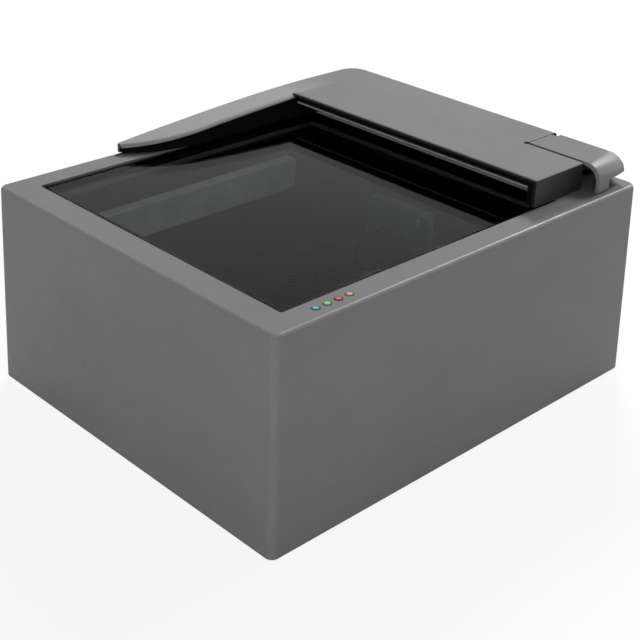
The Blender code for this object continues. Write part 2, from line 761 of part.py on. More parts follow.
def ramp_cutter():
    """What the ramp takes off the wide arm's top behind the crease, fading out to the right."""
    start = HOOD_RIGHT - RAMP_FROM_RIGHT
    first = ARM_INNER + 2 * HOOD_EDGE_RADIUS
    places = [ARM_INNER - OVERRUN, ARM_INNER, first, start - CREASE_FADE, start]
    places[3:3] = [first + share * (start - CREASE_FADE - first) for share in RAMP_SHARES]
    loops = []
    for x in places:
        y = crease_y(x)
        floor = ramp_height(x) if x < start else HOOD_TOP + SKIM
        high = HOOD_TOP + OVERRUN
        behind = BACK + OVERRUN
        step = ((y, high), (y, HOOD_TOP + 2 * SKIM), (y + CREASE_WIDTH, floor))
        outline = (*step, (behind, floor), (behind, high))
        loops.append([Vector((x, py, pz)) for py, pz in outline])
    return loft(loops)


def quarter(start, stop):
    """Points of a quarter round from one corner point to another, bulging past the straight line."""
    points = []
    for i in range(EDGE_STEPS + 1):
        turn = 0.5 * math.pi * i / EDGE_STEPS
        points.append((
            start[0] + (stop[0] - start[0]) * (1 - math.cos(turn)),
            start[1] + (stop[1] - start[1]) * math.sin(turn),
        ))
    return points


def wide_arm():
    """Wide arm as a block with its inner and front top edges rounded. It stands proud of its envelope."""
    radius = HOOD_EDGE_RADIUS
    top = HOOD_TOP + SKIM
    far = HOOD_RIGHT + OVERRUN
    low = HOOD_BOTTOM - OVERRUN
    outline = [(ARM_INNER, low), *quarter((ARM_INNER, top - radius), (ARM_INNER + radius, top))]
    outline += [(far, top), (far, low)]
    arm = prism_y(outline, (ARM_FRONT - OVERRUN, BACK + OVERRUN))
    end = END_EDGE_RADIUS
    side = [(ARM_FRONT, low - OVERRUN), *quarter((ARM_FRONT, top - end), (ARM_FRONT + end, top + SKIM))]
    side += [(BACK + 2 * OVERRUN, top + SKIM), (BACK + 2 * OVERRUN, low - OVERRUN)]
    keep(arm, prism_x(side, (ARM_INNER - OVERRUN, far + OVERRUN)))
    return arm


def back_arm():
    """Ramped back arm. Its end dives under the wide arm's top, so that the two join cleanly."""
    low = HOOD_BOTTOM - 2 * OVERRUN
    outer = BACK + 3 * OVERRUN
    radius = BACK_EDGE_RADIUS
    loops = [back_arm_loop(x, 0.0, 0.0, outer, radius, low) for x in stations(TIP_X, ARM_INNER)]
    loops.append(back_arm_loop(ARM_INNER + 2 * HOOD_EDGE_RADIUS, 0.0, GAP, outer, radius, low))
    return loft(loops)


def hood_hollow():
    """Space inside the hood, open below and along the inner edge."""
    low = HOOD_BOTTOM - OVERRUN
    top = HOOD_TOP - HOOD_WALL
    near = ARM_INNER - OVERRUN
    far = HOOD_RIGHT + OVERRUN
    front = ARM_FRONT + HOOD_WALL
    start = HOOD_RIGHT - RAMP_FROM_RIGHT
    crease = crease_y(ARM_INNER)
    behind = BACK + OVERRUN
    outline = [(near, front), (far, front), (far, behind)]
    outline += [(start, behind), (start, crease), (near, crease)]
    hollow = prism_z(outline, (low, top))
    loops = [hollow_loop(x, HOOD_WALL) for x in (TIP_X - OVERRUN, *stations(TIP_X, start))]
    loops.append(hollow_loop(start + WELD, HOOD_WALL + SKIM))
    join(hollow, loft(loops))
    inside = [body_loop(z, HOOD_WALL, HOOD_RIGHT) for z in (low - 2 * OVERRUN, HOOD_TOP)]
    keep(hollow, loft(inside))
    return hollow


def hollow_loop(x, skin):
    """Section of the space inside the back arm."""
    return back_arm_loop(x, -OVERRUN, skin, BACK + 2 * OVERRUN, LEAST_RADIUS, HOOD_BOTTOM - 2 * OVERRUN)


def make_hood_shell(look):
    """L-shaped skin over the deck: flat wide arm, ramped back arm, outer walls and front end wall."""
    hood = wide_arm()
    cut(hood, ramp_cutter())
    join(hood, back_arm())
    keep(hood, loft(rounded_top(HOOD_BOTTOM, HOOD_TOP, TOP_EDGE_RADIUS, HOOD_RIGHT)))
    cut(hood, hood_hollow())
    cut(hood, flap_bay())
    join(hood, bay_walls())
    for px, py in hood_screw_places().values():
        top = ramp_height(px) - HOOD_WALL + WELD
        join(hood, rod((px, py), HOOD_BOSS_RADIUS, (HOOD_BOTTOM, top), sides=SMALL_SIDES))
        pilot = min(SCREW_GRIP, top - HOOD_BOTTOM - WELD)
        hole = (HOOD_BOTTOM - OVERRUN, HOOD_BOTTOM + pilot)
        cut(hood, rod((px, py), SCREW_HOLE_RADIUS, hole, sides=SMALL_SIDES))
    pin = (SLIT_LEFT - BAY_WALL - OVERRUN, EAR_RIGHT + OVERRUN)
    cut(hood, rod((HINGE_Y, HINGE_Z), PIN_RADIUS + GAP, pin, "X", SMALL_SIDES))
    eye = (SLIT_LEFT + SLIT_WIDTH / 2, NOTCH_BACK)
    through = (HOOD_TOP - HOOD_WALL - WELD, HOOD_TOP + OVERRUN)
    cut(hood, rod(eye, SLIT_EYE_RADIUS, through, sides=SMALL_SIDES))
    return finish(hood, "hood_shell", look)


def flap_bay():
    """Corner of the hood that is left open for the flap, with round room for the knuckle and a notch."""
    low = HOOD_BOTTOM - OVERRUN
    high = HOOD_TOP + OVERRUN
    far = HOOD_RIGHT + OVERRUN
    bay = block((SLIT_LEFT, far), (ARM_FRONT - OVERRUN, HINGE_Y), (low, high))
    room = rod((HINGE_Y, HINGE_Z), KNUCKLE_ROOM, (SLIT_LEFT, EAR_LEFT), "X", 2 * ROUND_SIDES)
    under = block((SLIT_LEFT, EAR_LEFT), (HINGE_Y - WELD, BAY_BACK), (low, HINGE_Z))
    notch = block((EAR_LEFT - WELD, far), (HINGE_Y - WELD, NOTCH_BACK), (HINGE_Z, high))
    side = block((EAR_RIGHT, far), (HINGE_Y - WELD, HINGE_Y + GAP), (low, high))
    join(bay, room, under, notch, side)
    return bay


def bay_walls():
    """Walls that close the hood towards the bay, with the ear that holds the pin's outer end.

    The ear's stem stays below the hinge axis, because the flap's skin swings down behind the pin.
    """
    top = HOOD_TOP - HOOD_WALL + WELD
    back_end = BAY_BACK + BAY_WALL
    side = HOOD_RIGHT - HOOD_WALL + WELD
    walls = block((SLIT_LEFT - BAY_WALL, SLIT_LEFT), (ARM_FRONT + WELD, back_end), (HOOD_BOTTOM, top))
    back_wall = block((SLIT_LEFT - WELD, side), (BAY_BACK, back_end), (HOOD_BOTTOM, top))
    stem = block((EAR_LEFT, EAR_RIGHT), (HINGE_Y, BAY_BACK + WELD), (HINGE_Z - EAR_RADIUS, HINGE_Z - GAP))
    ear = rod((HINGE_Y, HINGE_Z), EAR_RADIUS, (EAR_LEFT, EAR_RIGHT), "X")
    join(walls, back_wall, stem, ear)
    return walls


def make_hood_screws(look):
    """Screws from inside the housing up into the hood's bosses."""
    for name, place in hood_screw_places().items():
        boss = ramp_height(place[0]) - HOOD_WALL - HOOD_BOTTOM
        grip = DECK_THICKNESS + 2 * GAP + min(SCREW_GRIP, boss) - WELD
        made = screw(place, DECK_UNDERSIDE - GAP, grip, SCREW_RADIUS, SCREW_HEAD_RADIUS, SCREW_HEAD)
        finish(made, "hood_screw_" + name, look)


def liner_arm_loop(x, top_gap):
    """Section of the liner's thin wall behind the back arm's inner edge."""
    inner = sweep_edge(x) + LINER_SETBACK
    outer = inner + LINER_WALL
    top = ramp_height(x, HOOD_WALL) - top_gap
    section = ((inner, HOOD_BOTTOM), (outer, HOOD_BOTTOM), (outer, top), (inner, top))
    return [Vector((x, py, pz)) for py, pz in section]


def make_hood_liner(look):
    """Black inner wall: it stands back under the wide arm for a page, and follows the sweep."""
    top = HOOD_TOP - HOOD_WALL - GAP
    guide_low, guide_high = guide_heights()
    inner = ARM_INNER + LINER_SETBACK
    deep = inner + UNDERCUT_DEPTH
    front = ARM_FRONT + HOOD_WALL + GAP
    back = BACK_ARM_INNER + LINER_SETBACK + LINER_WALL
    liner = block((inner, deep), (front, front + UNDERCUT_FRONT), (HOOD_BOTTOM, top))
    stop = BACK_ARM_INNER - GAP
    upper = block((inner, inner + LINER_WALL), (front + WELD, stop), (guide_high + GAP, top))
    lower = block((deep - LINER_WALL, deep), (front + WELD, back - WELD), (HOOD_BOTTOM, guide_low - GAP))
    end = block((inner, deep), (stop - WELD, back), (HOOD_BOTTOM, top - BACK_END_DROP))
    join(liner, upper, lower, end)
    places = stations(TIP_X + LINER_SETBACK, inner + LINER_WALL)
    join(liner, loft([liner_arm_loop(x, GAP) for x in places]), liner_tip())
    return finish(liner, "hood_liner", look)


def liner_tip():
    """End of the liner that closes the hood's open tip."""
    start = TIP_X + LINER_SETBACK
    low = sweep_edge(start) + LINER_SETBACK
    y = (low + WELD, BACK - HOOD_WALL - 2 * GAP)
    top = ramp_height(start, HOOD_WALL) - GAP - WELD
    return block((start + WELD, start + LINER_WALL), y, (HOOD_BOTTOM + WELD, top))


def guide_heights():
    """Bottom and top of the guide plate."""
    top = HOOD_TOP - GUIDE_BELOW_TOP + GUIDE_THICKNESS
    return top - GUIDE_THICKNESS, top


def make_page_guide(look):
    """Thin plate over the page gap, whose edge shows as a light line along the wide arm."""
    inner = ARM_INNER + GUIDE_SETBACK
    deep = ARM_INNER + LINER_SETBACK + UNDERCUT_DEPTH
    front = ARM_FRONT + HOOD_WALL + GAP + UNDERCUT_FRONT + GAP
    back = BACK_ARM_INNER - GAP - WELD - GAP
    return finish(block((inner, deep), (front, back), guide_heights()), "page_guide", look)


def nose_section(x, skin):
    """Side outline of the flap at x: flat top, rounded nose and a front wall down to the deck."""
    way = min(max((x - FLAP_LEFT) / FLAP_WIDTH, 0.0), 1.0)
    front = FRONT + FLAP_FRONT_SETBACK + NOSE_CURL * way**NOSE_CURL_POWER + skin
    length = NOSE_LENGTH + (NOSE_LENGTH_RIGHT - NOSE_LENGTH) * way - skin / 2
    top = HOOD_TOP + SKIM - skin
    low = HOOD_BOTTOM if skin == 0 else HOOD_BOTTOM - OVERRUN
    rear = HINGE_Y if skin == 0 else HINGE_Y + OVERRUN
    points = [(rear, low), (rear, top)]
    points += quarter((front, top - NOSE_DROP + skin / 2), (front + length, top))[::-1]
    points.append((front, low))
    return [Vector((x, py, pz)) for py, pz in points]


def nose_undercut():
    """Wedge of space under the nose that a fingertip enters."""
    front = FRONT + FLAP_FRONT_SETBACK
    lip = DECK_HEIGHT + NOSE_LIP_RISE
    low = HOOD_BOTTOM - OVERRUN
    near = front - OVERRUN
    heel = front + NOSE_HEEL
    outline = [(near, low), (heel, low), (heel, HOOD_BOTTOM)]
    outline += [(front + NOSE_CURL + NOSE_LIP, lip), (near, lip)]
    return prism_x(outline, (FLAP_LEFT + LEG_WIDTH, HOOD_RIGHT + OVERRUN))


def make_flap(look):
    """Hinged flap: flat top, rounded nose with an undercut, one leg, an outer wall and a knuckle."""
    far = HOOD_RIGHT + OVERRUN
    places = [FLAP_LEFT + share * (far - FLAP_LEFT) for share in FLAP_STATION_SHARES]
    flap = loft([nose_section(x, 0.0) for x in places])
    cut(flap, loft([nose_section(x, FLAP_SKIN) for x in hollow_stations()]))
    cut(flap, nose_undercut())
    knuckle = rod((HINGE_Y, HINGE_Z), KNUCKLE_RADIUS, (FLAP_LEFT, EAR_LEFT - GAP), "X", 2 * ROUND_SIDES)
    room_y = (HINGE_Y - FLAP_SKIN, BAY_BACK)
    room_z = (HINGE_Z - EAR_RADIUS, HOOD_TOP + SKIM)
    keep(knuckle, block((FLAP_LEFT - OVERRUN, far), room_y, room_z))
    join(flap, knuckle)
    keep(flap, loft(rounded_top(HOOD_BOTTOM - WELD, HOOD_TOP, TOP_EDGE_RADIUS, HOOD_RIGHT)))
    ear_x = widened((EAR_LEFT, EAR_RIGHT), GAP)
    cut(flap, rod((HINGE_Y, HINGE_Z), EAR_RADIUS + GAP, ear_x, "X"))
    pin = (FLAP_LEFT - OVERRUN, EAR_RIGHT)
    cut(flap, rod((HINGE_Y, HINGE_Z), PIN_RADIUS + GAP, pin, "X", SMALL_SIDES))
    finish(flap, "card_flap", look)
    shift = Vector((0.0, HINGE_Y, HINGE_Z))
    flap.data.transform(Matrix.Translation(-shift))
    flap.location = shift
    return flap


def hollow_stations():
    """Places across the flap's hollow, which is open at its left side and walled at its right."""
    near = FLAP_LEFT - OVERRUN
    far = HOOD_RIGHT - FLAP_SKIN
    return [near + share * (far - near) for share in FLAP_STATION_SHARES]


def make_flap_pin(look):
    """Steel hinge pin between the bay's inner wall and the ear."""
    ends = (SLIT_LEFT - BAY_WALL + GAP, EAR_RIGHT - GAP)
    return finish(rod((HINGE_Y, HINGE_Z), PIN_RADIUS, ends, "X", SMALL_SIDES), "flap_pin", look)


def card_socket_limits():
    """Limits of the small card socket under the flap."""
    x = FLAP_LEFT + SOCKET_FROM_SLIT
    y = HINGE_Y - SOCKET_FROM_HINGE
    z = DECK_HEIGHT + GAP
    return (x, x + SOCKET_WIDTH), (y - SOCKET_DEPTH, y), (z, z + SOCKET_HEIGHT)


def make_card_socket(look):
    """Plastic tray with two rails and a back stop, open to the front."""
    x, y, z = card_socket_limits()
    tray = block(x, y, z)
    floor = z[1] - SOCKET_SLOT
    inside_y = (y[0] - OVERRUN, y[1] - SOCKET_RAIL)
    cut(tray, block(widened(x, -SOCKET_RAIL), inside_y, (floor, z[1] + OVERRUN)))
    return finish(tray, "card_socket", look)


def make_card_socket_cover(look):
    """Pressed steel cover of the small card socket, with a thumb window."""
    x, y, z = card_socket_limits()
    cover = block(x, y, (z[1] + GAP, z[1] + GAP + SOCKET_COVER))
    thumb = ((x[0] + x[1]) / 2, y[0])
    cut(cover, rod(thumb, SOCKET_WIDTH / 4, (z[1] - OVERRUN, z[1] + OVERRUN), sides=SMALL_SIDES))
    return finish(cover, "card_socket_cover", look)


def make_status_lens(name, place, look):
    """Light guide through the deck: a low dome, a shank and a flange under the deck."""
    bottom = DECK_UNDERSIDE - GAP - LIGHT_FLANGE
    profile = [(LIGHT_FLANGE_RADIUS, bottom), (LIGHT_FLANGE_RADIUS, bottom + LIGHT_FLANGE)]
    profile.append((LIGHT_RADIUS, bottom + LIGHT_FLANGE))
    for i in range(EDGE_STEPS):
        turn = 0.5 * math.pi * i / EDGE_STEPS
        profile.append((LIGHT_RADIUS * math.cos(turn), DECK_HEIGHT + LIGHT_DOME * math.sin(turn)))
    return finish(turned(profile, place), "status_lens_" + name, look)


def make_led_board(look):
    """Strip board under the light guides, with one chip for each, on the tub's flange."""
    places = light_places()
    bottom = TUB_TOP + GAP
    x = (places[0][0] - LIGHT_FLANGE_RADIUS, places[-1][0] + LIGHT_FLANGE_RADIUS)
    y = widened((places[0][1], places[0][1]), LIGHT_FLANGE_RADIUS)
    top = bottom + LIGHT_BOARD_THICKNESS
    board = block(x, y, (bottom, top))
    chip_top = DECK_UNDERSIDE - GAP - LIGHT_FLANGE - GAP
    for px, py in places:
        half = LIGHT_RADIUS / 2
        join(board, block(widened((px, px), half), widened((py, py), half), (top - WELD, chip_top)))
    return finish(board, "led_board", look)


def make_optics_tub(look):
    """Black open-topped chamber that hangs by its flange under the window."""
    corners = [TUB_CORNER] * 4
    outer = rounded_rectangle((TUB_LEFT, TUB_RIGHT), (TUB_FRONT, TUB_BACK), corners)
    tub = prism_z(outer, (TUB_BOTTOM, TUB_TOP - WELD))
    x = (TUB_LEFT - TUB_FLANGE_SIDE, TUB_RIGHT + TUB_FLANGE_SIDE)
    y = (TUB_FRONT - TUB_FLANGE_FRONT, TUB_BACK + TUB_FLANGE_FRONT)
    join(tub, prism_z(rounded_rectangle(x, y, [TUB_WALL] * 4), (TUB_TOP - TUB_FLANGE, TUB_TOP)))
    inner_corners = [TUB_CORNER - TUB_WALL] * 4
    inner_x = widened((TUB_LEFT, TUB_RIGHT), -TUB_WALL)
    inner_y = widened((TUB_FRONT, TUB_BACK), -TUB_WALL)
    inner = rounded_rectangle(inner_x, inner_y, inner_corners)
    cut(tub, prism_z(inner, (TUB_FLOOR, TUB_TOP + OVERRUN)))
    through = (TUB_TOP - TUB_FLANGE - OVERRUN, TUB_TOP + OVERRUN)
    for place in tub_screw_places().values():
        cut(tub, rod(place, SMALL_HOLE_RADIUS, through, sides=SMALL_SIDES))
    lead_y = FRONT + LEAD_NOTCH_FROM_FRONT
    notch = block((TUB_RIGHT + GAP, x[1] + OVERRUN), widened((lead_y, lead_y), LEAD_NOTCH / 2), through)
    cut(tub, notch)
    cut(tub, cable_slot((TUB_BOTTOM - OVERRUN, TUB_FLOOR + OVERRUN)))
    return finish(tub, "optics_tub", look)


def make_tub_screws(look):
    """Small screws up through the tub's flange into the deck's bosses."""
    seat = TUB_TOP - TUB_FLANGE - GAP
    grip = TUB_FLANGE + GAP + SMALL_GRIP - GAP
    for name, place in tub_screw_places().items():
        made = screw(place, seat, grip, SMALL_SCREW_RADIUS, SMALL_HEAD_RADIUS, SMALL_HEAD)
        finish(made, "tub_screw_" + name, look)


def make_antenna(look):
    """Radio aerial: a flat board frame round the light path, on the tub's flange."""
    z = (ANTENNA_TOP - ANTENNA_THICKNESS, ANTENNA_TOP)
    inset = GLASS_INSET + LEDGE_WIDTH
    frame = window_block(inset - ANTENNA_WIDTH, z)
    cut(frame, window_block(inset, (z[0] - OVERRUN, z[1] + OVERRUN)))
    return finish(frame, "rfid_antenna", look)


def mirror_places():
    """Upper left end of the mirror's back face, and its lower right end."""
    run = MIRROR_LENGTH * math.cos(MIRROR_TILT)
    drop = MIRROR_LENGTH * math.sin(MIRROR_TILT)
    left = TUB_LEFT + TUB_WALL + GAP + BRACKET_WALL + MIRROR_FROM_WALL
    return (left, MIRROR_LOW + drop), (left + run, MIRROR_LOW)


def make_fold_mirror(look):
    """Front-surface mirror that turns the view of the window towards the camera."""
    upper, lower = mirror_places()
    nx = MIRROR_THICKNESS * math.sin(MIRROR_TILT)
    nz = MIRROR_THICKNESS * math.cos(MIRROR_TILT)
    outline = [upper, lower, (lower[0] + nx, lower[1] + nz), (upper[0] + nx, upper[1] + nz)]
    return finish(prism_y(outline, (-MIRROR_WIDTH / 2, MIRROR_WIDTH / 2)), "fold_mirror", look)


def make_mirror_bracket(look):
    """Moulded wedge behind the mirror: two hollows with a rib between them, open towards the mirror."""
    upper, lower = mirror_places()
    sx = GAP * math.sin(MIRROR_TILT)
    sz = GAP * math.cos(MIRROR_TILT)
    left = TUB_LEFT + TUB_WALL + GAP
    low = TUB_FLOOR + GAP
    foot = (lower[0] - sx, lower[1] - sz)
    head = (upper[0] - sx, upper[1] - sz)
    half = MIRROR_WIDTH / 2
    wedge = prism_y([(left, low), (foot[0], low), foot, head, (left, head[1])], (-half, half))
    wall = BRACKET_WALL
    reach = wall + wall / math.sin(MIRROR_TILT)
    near = (foot[0] + sx - reach, low + wall)
    far = (left + wall, head[1] + sz - reach)
    out = MIRROR_THICKNESS + wall
    window = [near, far, (far[0] + out, far[1] + out), (near[0] + out, near[1] + out)]
    for side in (-1, 1):
        ends = sorted((side * wall / 2, side * (half - wall)))
        cut(wedge, prism_y([(left + wall, low + wall), near, far], ends))
        cut(wedge, prism_y(window, widened(ends, -wall)))
    return finish(wedge, "mirror_bracket", look)


def camera_plate_x():
    """Limits on X of the camera bracket's upright plate."""
    right = TUB_RIGHT - TUB_WALL - CAMERA_FROM_WALL
    return right - CAMERA_PLATE, right


def camera_board_x():
    """Limits on X of the camera's board, in front of the plate."""
    right = camera_plate_x()[0] - GAP
    return right - BOARD_THICKNESS, right


def camera_screw_places():
    """Two opposite corners of the camera board, as (y, z)."""
    reach = CAMERA_BOARD_SIDE / 2 - CAMERA_SCREW_INSET
    return {"upper": (-reach, CAMERA_HEIGHT + reach), "lower": (reach, CAMERA_HEIGHT - reach)}


def cable_x():
    """Limits on X of the flat cable, which hangs just in front of the camera board."""
    right = camera_board_x()[0] - GAP - CONNECTOR_DEPTH / 2
    return right - CABLE_THICKNESS, right


def cable_slot(z):
    """Slot that the flat cable passes through."""
    half = CABLE_WIDTH / 2 + CABLE_SLOT_GAP
    return block(widened(cable_x(), CABLE_SLOT_GAP), (-half, half), z)


def make_camera_bracket(look):
    """Folded plate: a foot on the tub's floor and an upright behind the camera board."""
    x = camera_plate_x()
    half = CAMERA_PLATE_WIDTH / 2
    low = TUB_FLOOR + GAP
    bracket = block(x, (-half, half), (low, CAMERA_PLATE_TOP))
    foot = (x[1] - CAMERA_FOOT, x[1] - WELD)
    join(bracket, block(foot, (-half + WELD, half - WELD), (low, low + CAMERA_PLATE)))
    for place in camera_screw_places().values():
        cut(bracket, rod(place, SMALL_HOLE_RADIUS, widened(x, OVERRUN), "X", SMALL_SIDES))
    cut(bracket, cable_slot((low - OVERRUN, low + CAMERA_PLATE + OVERRUN)))
    return finish(bracket, "camera_bracket", look)


def make_camera_board(look):
    """Square sensor board with the flat cable's upper connector."""
    half = CAMERA_BOARD_SIDE / 2
    board = block(camera_board_x(), (-half, half), widened((CAMERA_HEIGHT, CAMERA_HEIGHT), half))
    high = cable_ends()[1] + GAP
    connector = cable_connector((high, high + CONNECTOR_HEIGHT))
    connector.location.x += GAP + WELD
    join(board, connector)
    for place in camera_screw_places().values():
        cut(board, rod(place, SMALL_HOLE_RADIUS, widened(camera_board_x(), OVERRUN), "X", SMALL_SIDES))
    return finish(board, "camera_board", look)


def make_camera_screws(look):
    """Two small screws through the sensor board into the bracket."""
    seat = camera_board_x()[0] - GAP
    tip = seat + GAP + BOARD_THICKNESS + GAP + CAMERA_PLATE
    profile = [(SMALL_HEAD_RADIUS, seat - SMALL_HEAD), (SMALL_HEAD_RADIUS, seat)]
    profile += [(SMALL_SCREW_RADIUS, seat), (SMALL_SCREW_RADIUS, tip)]
    for name, place in camera_screw_places().items():
        finish(turned(profile, place, "X", SMALL_SIDES), "camera_screw_" + name, look)


def lens_front_x():
    """Place on X of the lens barrel's front face."""
    return camera_board_x()[0] - GAP - LENS_BASE - LENS_NECK - LENS_FRONT


def make_lens_barrel(look):
    """Turned lens barrel with a base, a neck and a wide front that is bored for its glass."""
    back = camera_board_x()[0] - GAP
    neck = back - LENS_BASE
    front = neck - LENS_NECK
    face = lens_front_x()
    profile = [(LENS_BASE_RADIUS, back), (LENS_BASE_RADIUS, neck), (LENS_NECK_RADIUS, neck)]
    profile += [(LENS_NECK_RADIUS, front), (LENS_FRONT_RADIUS, front), (LENS_FRONT_RADIUS, face)]
    barrel = turned(profile, (0.0, CAMERA_HEIGHT), "X")
    depth = LENS_GLASS_SINK + LENS_BULGE + LENS_GLASS_THICKNESS + GAP
    cut(barrel, rod((0.0, CAMERA_HEIGHT), LENS_GLASS_RADIUS + GAP, (face - OVERRUN, face + depth), "X"))
    return finish(barrel, "lens_barrel", look)


def make_lens_glass(look):
    """Front element of the lens, bulging outwards."""
    face = lens_front_x() + LENS_GLASS_SINK + LENS_BULGE
    profile = [(LENS_GLASS_RADIUS, face + LENS_GLASS_THICKNESS), (LENS_GLASS_RADIUS, face)]
    for i in range(1, EDGE_STEPS):
        turn = 0.5 * math.pi * i / EDGE_STEPS
        profile.append((LENS_GLASS_RADIUS * math.cos(turn), face - LENS_BULGE * math.sin(turn)))
    return finish(turned(profile, (0.0, CAMERA_HEIGHT), "X"), "lens_glass", look)


def make_light_bar(side, name, look):
    """Strip of infra-red and white chips on the tub's front or back wall."""
    wall = (TUB_FRONT if side < 0 else TUB_BACK) - side * (TUB_WALL + GAP)
    face = wall - side * BOARD_THICKNESS
    middle = (TUB_LEFT + TUB_RIGHT) / 2
    top = TUB_TOP - BAR_BELOW_TOP
    x = widened((middle, middle), BAR_LENGTH / 2)
    bar = block(x, sorted((wall, face)), (top - BAR_HEIGHT, top))
    pitch = BAR_LENGTH / BAR_CHIPS
    for i in range(BAR_CHIPS):
        px = x[0] + pitch * (i + 0.5)
        pz = top - BAR_HEIGHT / 2
        depth = sorted((face + side * WELD, face - side * BAR_CHIP_DEPTH))
        join(bar, block(widened((px, px), BAR_CHIP / 2), depth, widened((pz, pz), BAR_CHIP / 2)))
    return finish(bar, "light_bar_" + name, look)


def make_diffuser(side, name, look):
    """Frosted channel over a light bar."""
    wall = (TUB_FRONT if side < 0 else TUB_BACK) - side * (TUB_WALL + GAP)
    middle = (TUB_LEFT + TUB_RIGHT) / 2
    top = TUB_TOP - BAR_BELOW_TOP + GAP + DIFFUSER_WALL
    bottom = top - BAR_HEIGHT - 2 * (GAP + DIFFUSER_WALL)
    depth = -side * DIFFUSER_DEPTH
    x = widened((middle, middle), BAR_LENGTH / 2)
    channel = block(x, sorted((wall, wall + depth)), (bottom, top))
    inner = sorted((wall + side * OVERRUN, wall + depth + side * DIFFUSER_WALL))
    cut(channel, block(widened(x, OVERRUN), inner, (bottom + DIFFUSER_WALL, top - DIFFUSER_WALL)))
    return finish(channel, "diffuser_" + name, look)


def board_place(shares):
    """Point of the main board at shares of its width and depth."""
    return BOARD_LEFT + shares[0] * BOARD_WIDTH, BOARD_FRONT + shares[1] * BOARD_DEPTH


def make_main_board(look):
    """Main board on the base plate's standoffs, with its soldered chips, capacitors and connector."""
    x = (BOARD_LEFT, BOARD_LEFT + BOARD_WIDTH)
    board = block(x, (BOARD_FRONT, BOARD_BACK), (BOARD_BOTTOM, BOARD_TOP))
    for place in board_hole_places().values():
        hole = (BOARD_BOTTOM - OVERRUN, BOARD_TOP + OVERRUN)
        cut(board, rod(place, SMALL_HOLE_RADIUS, hole, sides=SMALL_SIDES))
    socket = cable_connector((BOARD_TOP - WELD, BOARD_TOP + CONNECTOR_HEIGHT))
    join(board, *board_chips(), *capacitors(), socket)
    return finish(board, "main_board", look)


def board_chips():
    """Flat chips, whose feet sink into the board."""
    made = []
    for sx, sy, width, depth in CHIP_SHARES:
        px, py = board_place((sx, sy))
        x = widened((px, px), width * BOARD_WIDTH / 2)
        y = widened((py, py), depth * BOARD_DEPTH / 2)
        made.append(block(x, y, (BOARD_TOP - WELD, BOARD_TOP + CHIP_HEIGHT)))
    return made


def capacitors():
    """Row of three round capacitors by the power socket."""
    px, py = board_place(CAPACITOR_PLACE_SHARES)
    soften = CAPACITOR_RADIUS / 8
    top = BOARD_TOP + CAPACITOR_HEIGHT
    radius = CAPACITOR_RADIUS
    profile = ((radius, BOARD_TOP - WELD), (radius, top - soften), (radius - soften, top))
    return [turned(profile, (px, py + i * CAPACITOR_PITCH), sides=SMALL_SIDES) for i in range(-1, 2)]


def cable_connector(z):
    """Connector that holds an end of the flat cable."""
    right = camera_board_x()[0] - GAP
    half = CONNECTOR_WIDTH / 2
    return block((right - CONNECTOR_DEPTH, right), (-half, half), z)


def make_board_screws(look):
    """Screws of the main board and the radio board."""
    places = {"board_screw_" + name: place for name, place in board_hole_places().items()}
    places.update({"radio_screw_" + name: place for name, place in radio_hole_places().items()})
    grip = GAP + BOARD_THICKNESS + SMALL_GRIP
    for name, place in places.items():
        seat = BOARD_TOP + GAP
        made = screw(place, seat, grip, SMALL_SCREW_RADIUS, SMALL_HEAD_RADIUS, SMALL_HEAD, up=False)
        finish(made, name, look)


def make_heatsink(look):
    """Finned block on the processor."""
    px, py = board_place(HEATSINK_PLACE_SHARES)
    bottom = BOARD_TOP + GAP
    x = widened((px, px), HEATSINK_SIDE / 2)
    y = widened((py, py), HEATSINK_SIDE / 2)
    sink = block(x, y, (bottom, bottom + HEATSINK_HEIGHT))
    pitch = (HEATSINK_SIDE - FIN_THICKNESS) / (FIN_COUNT - 1)
    for i in range(FIN_COUNT - 1):
        groove = (x[0] + FIN_THICKNESS + i * pitch, x[0] + (i + 1) * pitch)
        tall = (bottom + HEATSINK_BASE, bottom + HEATSINK_HEIGHT + OVERRUN)
        cut(sink, block(groove, widened(y, OVERRUN), tall))
    return finish(sink, "heatsink", look)


def make_beeper(look):
    """Round sounder with its hole."""
    place = board_place(BEEPER_PLACE_SHARES)
    bottom = BOARD_TOP + GAP
    beeper = rod(place, BEEPER_RADIUS, (bottom, bottom + BEEPER_HEIGHT))
    hole = (bottom + BEEPER_HEIGHT / 2, bottom + BEEPER_HEIGHT + OVERRUN)
    cut(beeper, rod(place, BEEPER_HOLE_RADIUS, hole, sides=SMALL_SIDES))
    return finish(beeper, "beeper", look)


def make_usb_socket(look):
    """Square data socket with its tongue, facing out of the back wall."""
    x, y, z = usb_limits()
    socket = block(x, y, z)
    mouth = (y[0] + USB_WALL, y[1] + OVERRUN)
    cut(socket, block(widened(x, -USB_WALL), mouth, widened(z, -USB_WALL)))
    px = (x[0] + x[1]) / 2
    pz = (z[0] + z[1]) / 2
    tongue_x = widened((px, px), USB_TONGUE_WIDTH / 2)
    tongue_z = widened((pz, pz), USB_TONGUE_HEIGHT / 2)
    join(socket, block(tongue_x, (y[0] + USB_WALL - WELD, y[1] - USB_TONGUE_SINK), tongue_z))
    return finish(socket, "usb_socket", look)


def make_power_jack(look):
    """Round power socket in a square body, with its centre pin."""
    x, y, z = jack_limits()
    jack = block(x, y, z)
    centre = ((x[0] + x[1]) / 2, (z[0] + z[1]) / 2)
    floor = y[1] - JACK_BORE_DEPTH
    cut(jack, rod(centre, JACK_BORE_RADIUS, (floor, y[1] + OVERRUN), "Y"))
    join(jack, rod(centre, JACK_PIN_RADIUS, (floor - WELD, y[1] - JACK_PIN_SINK), "Y", SMALL_SIDES))
    return finish(jack, "power_jack", look)


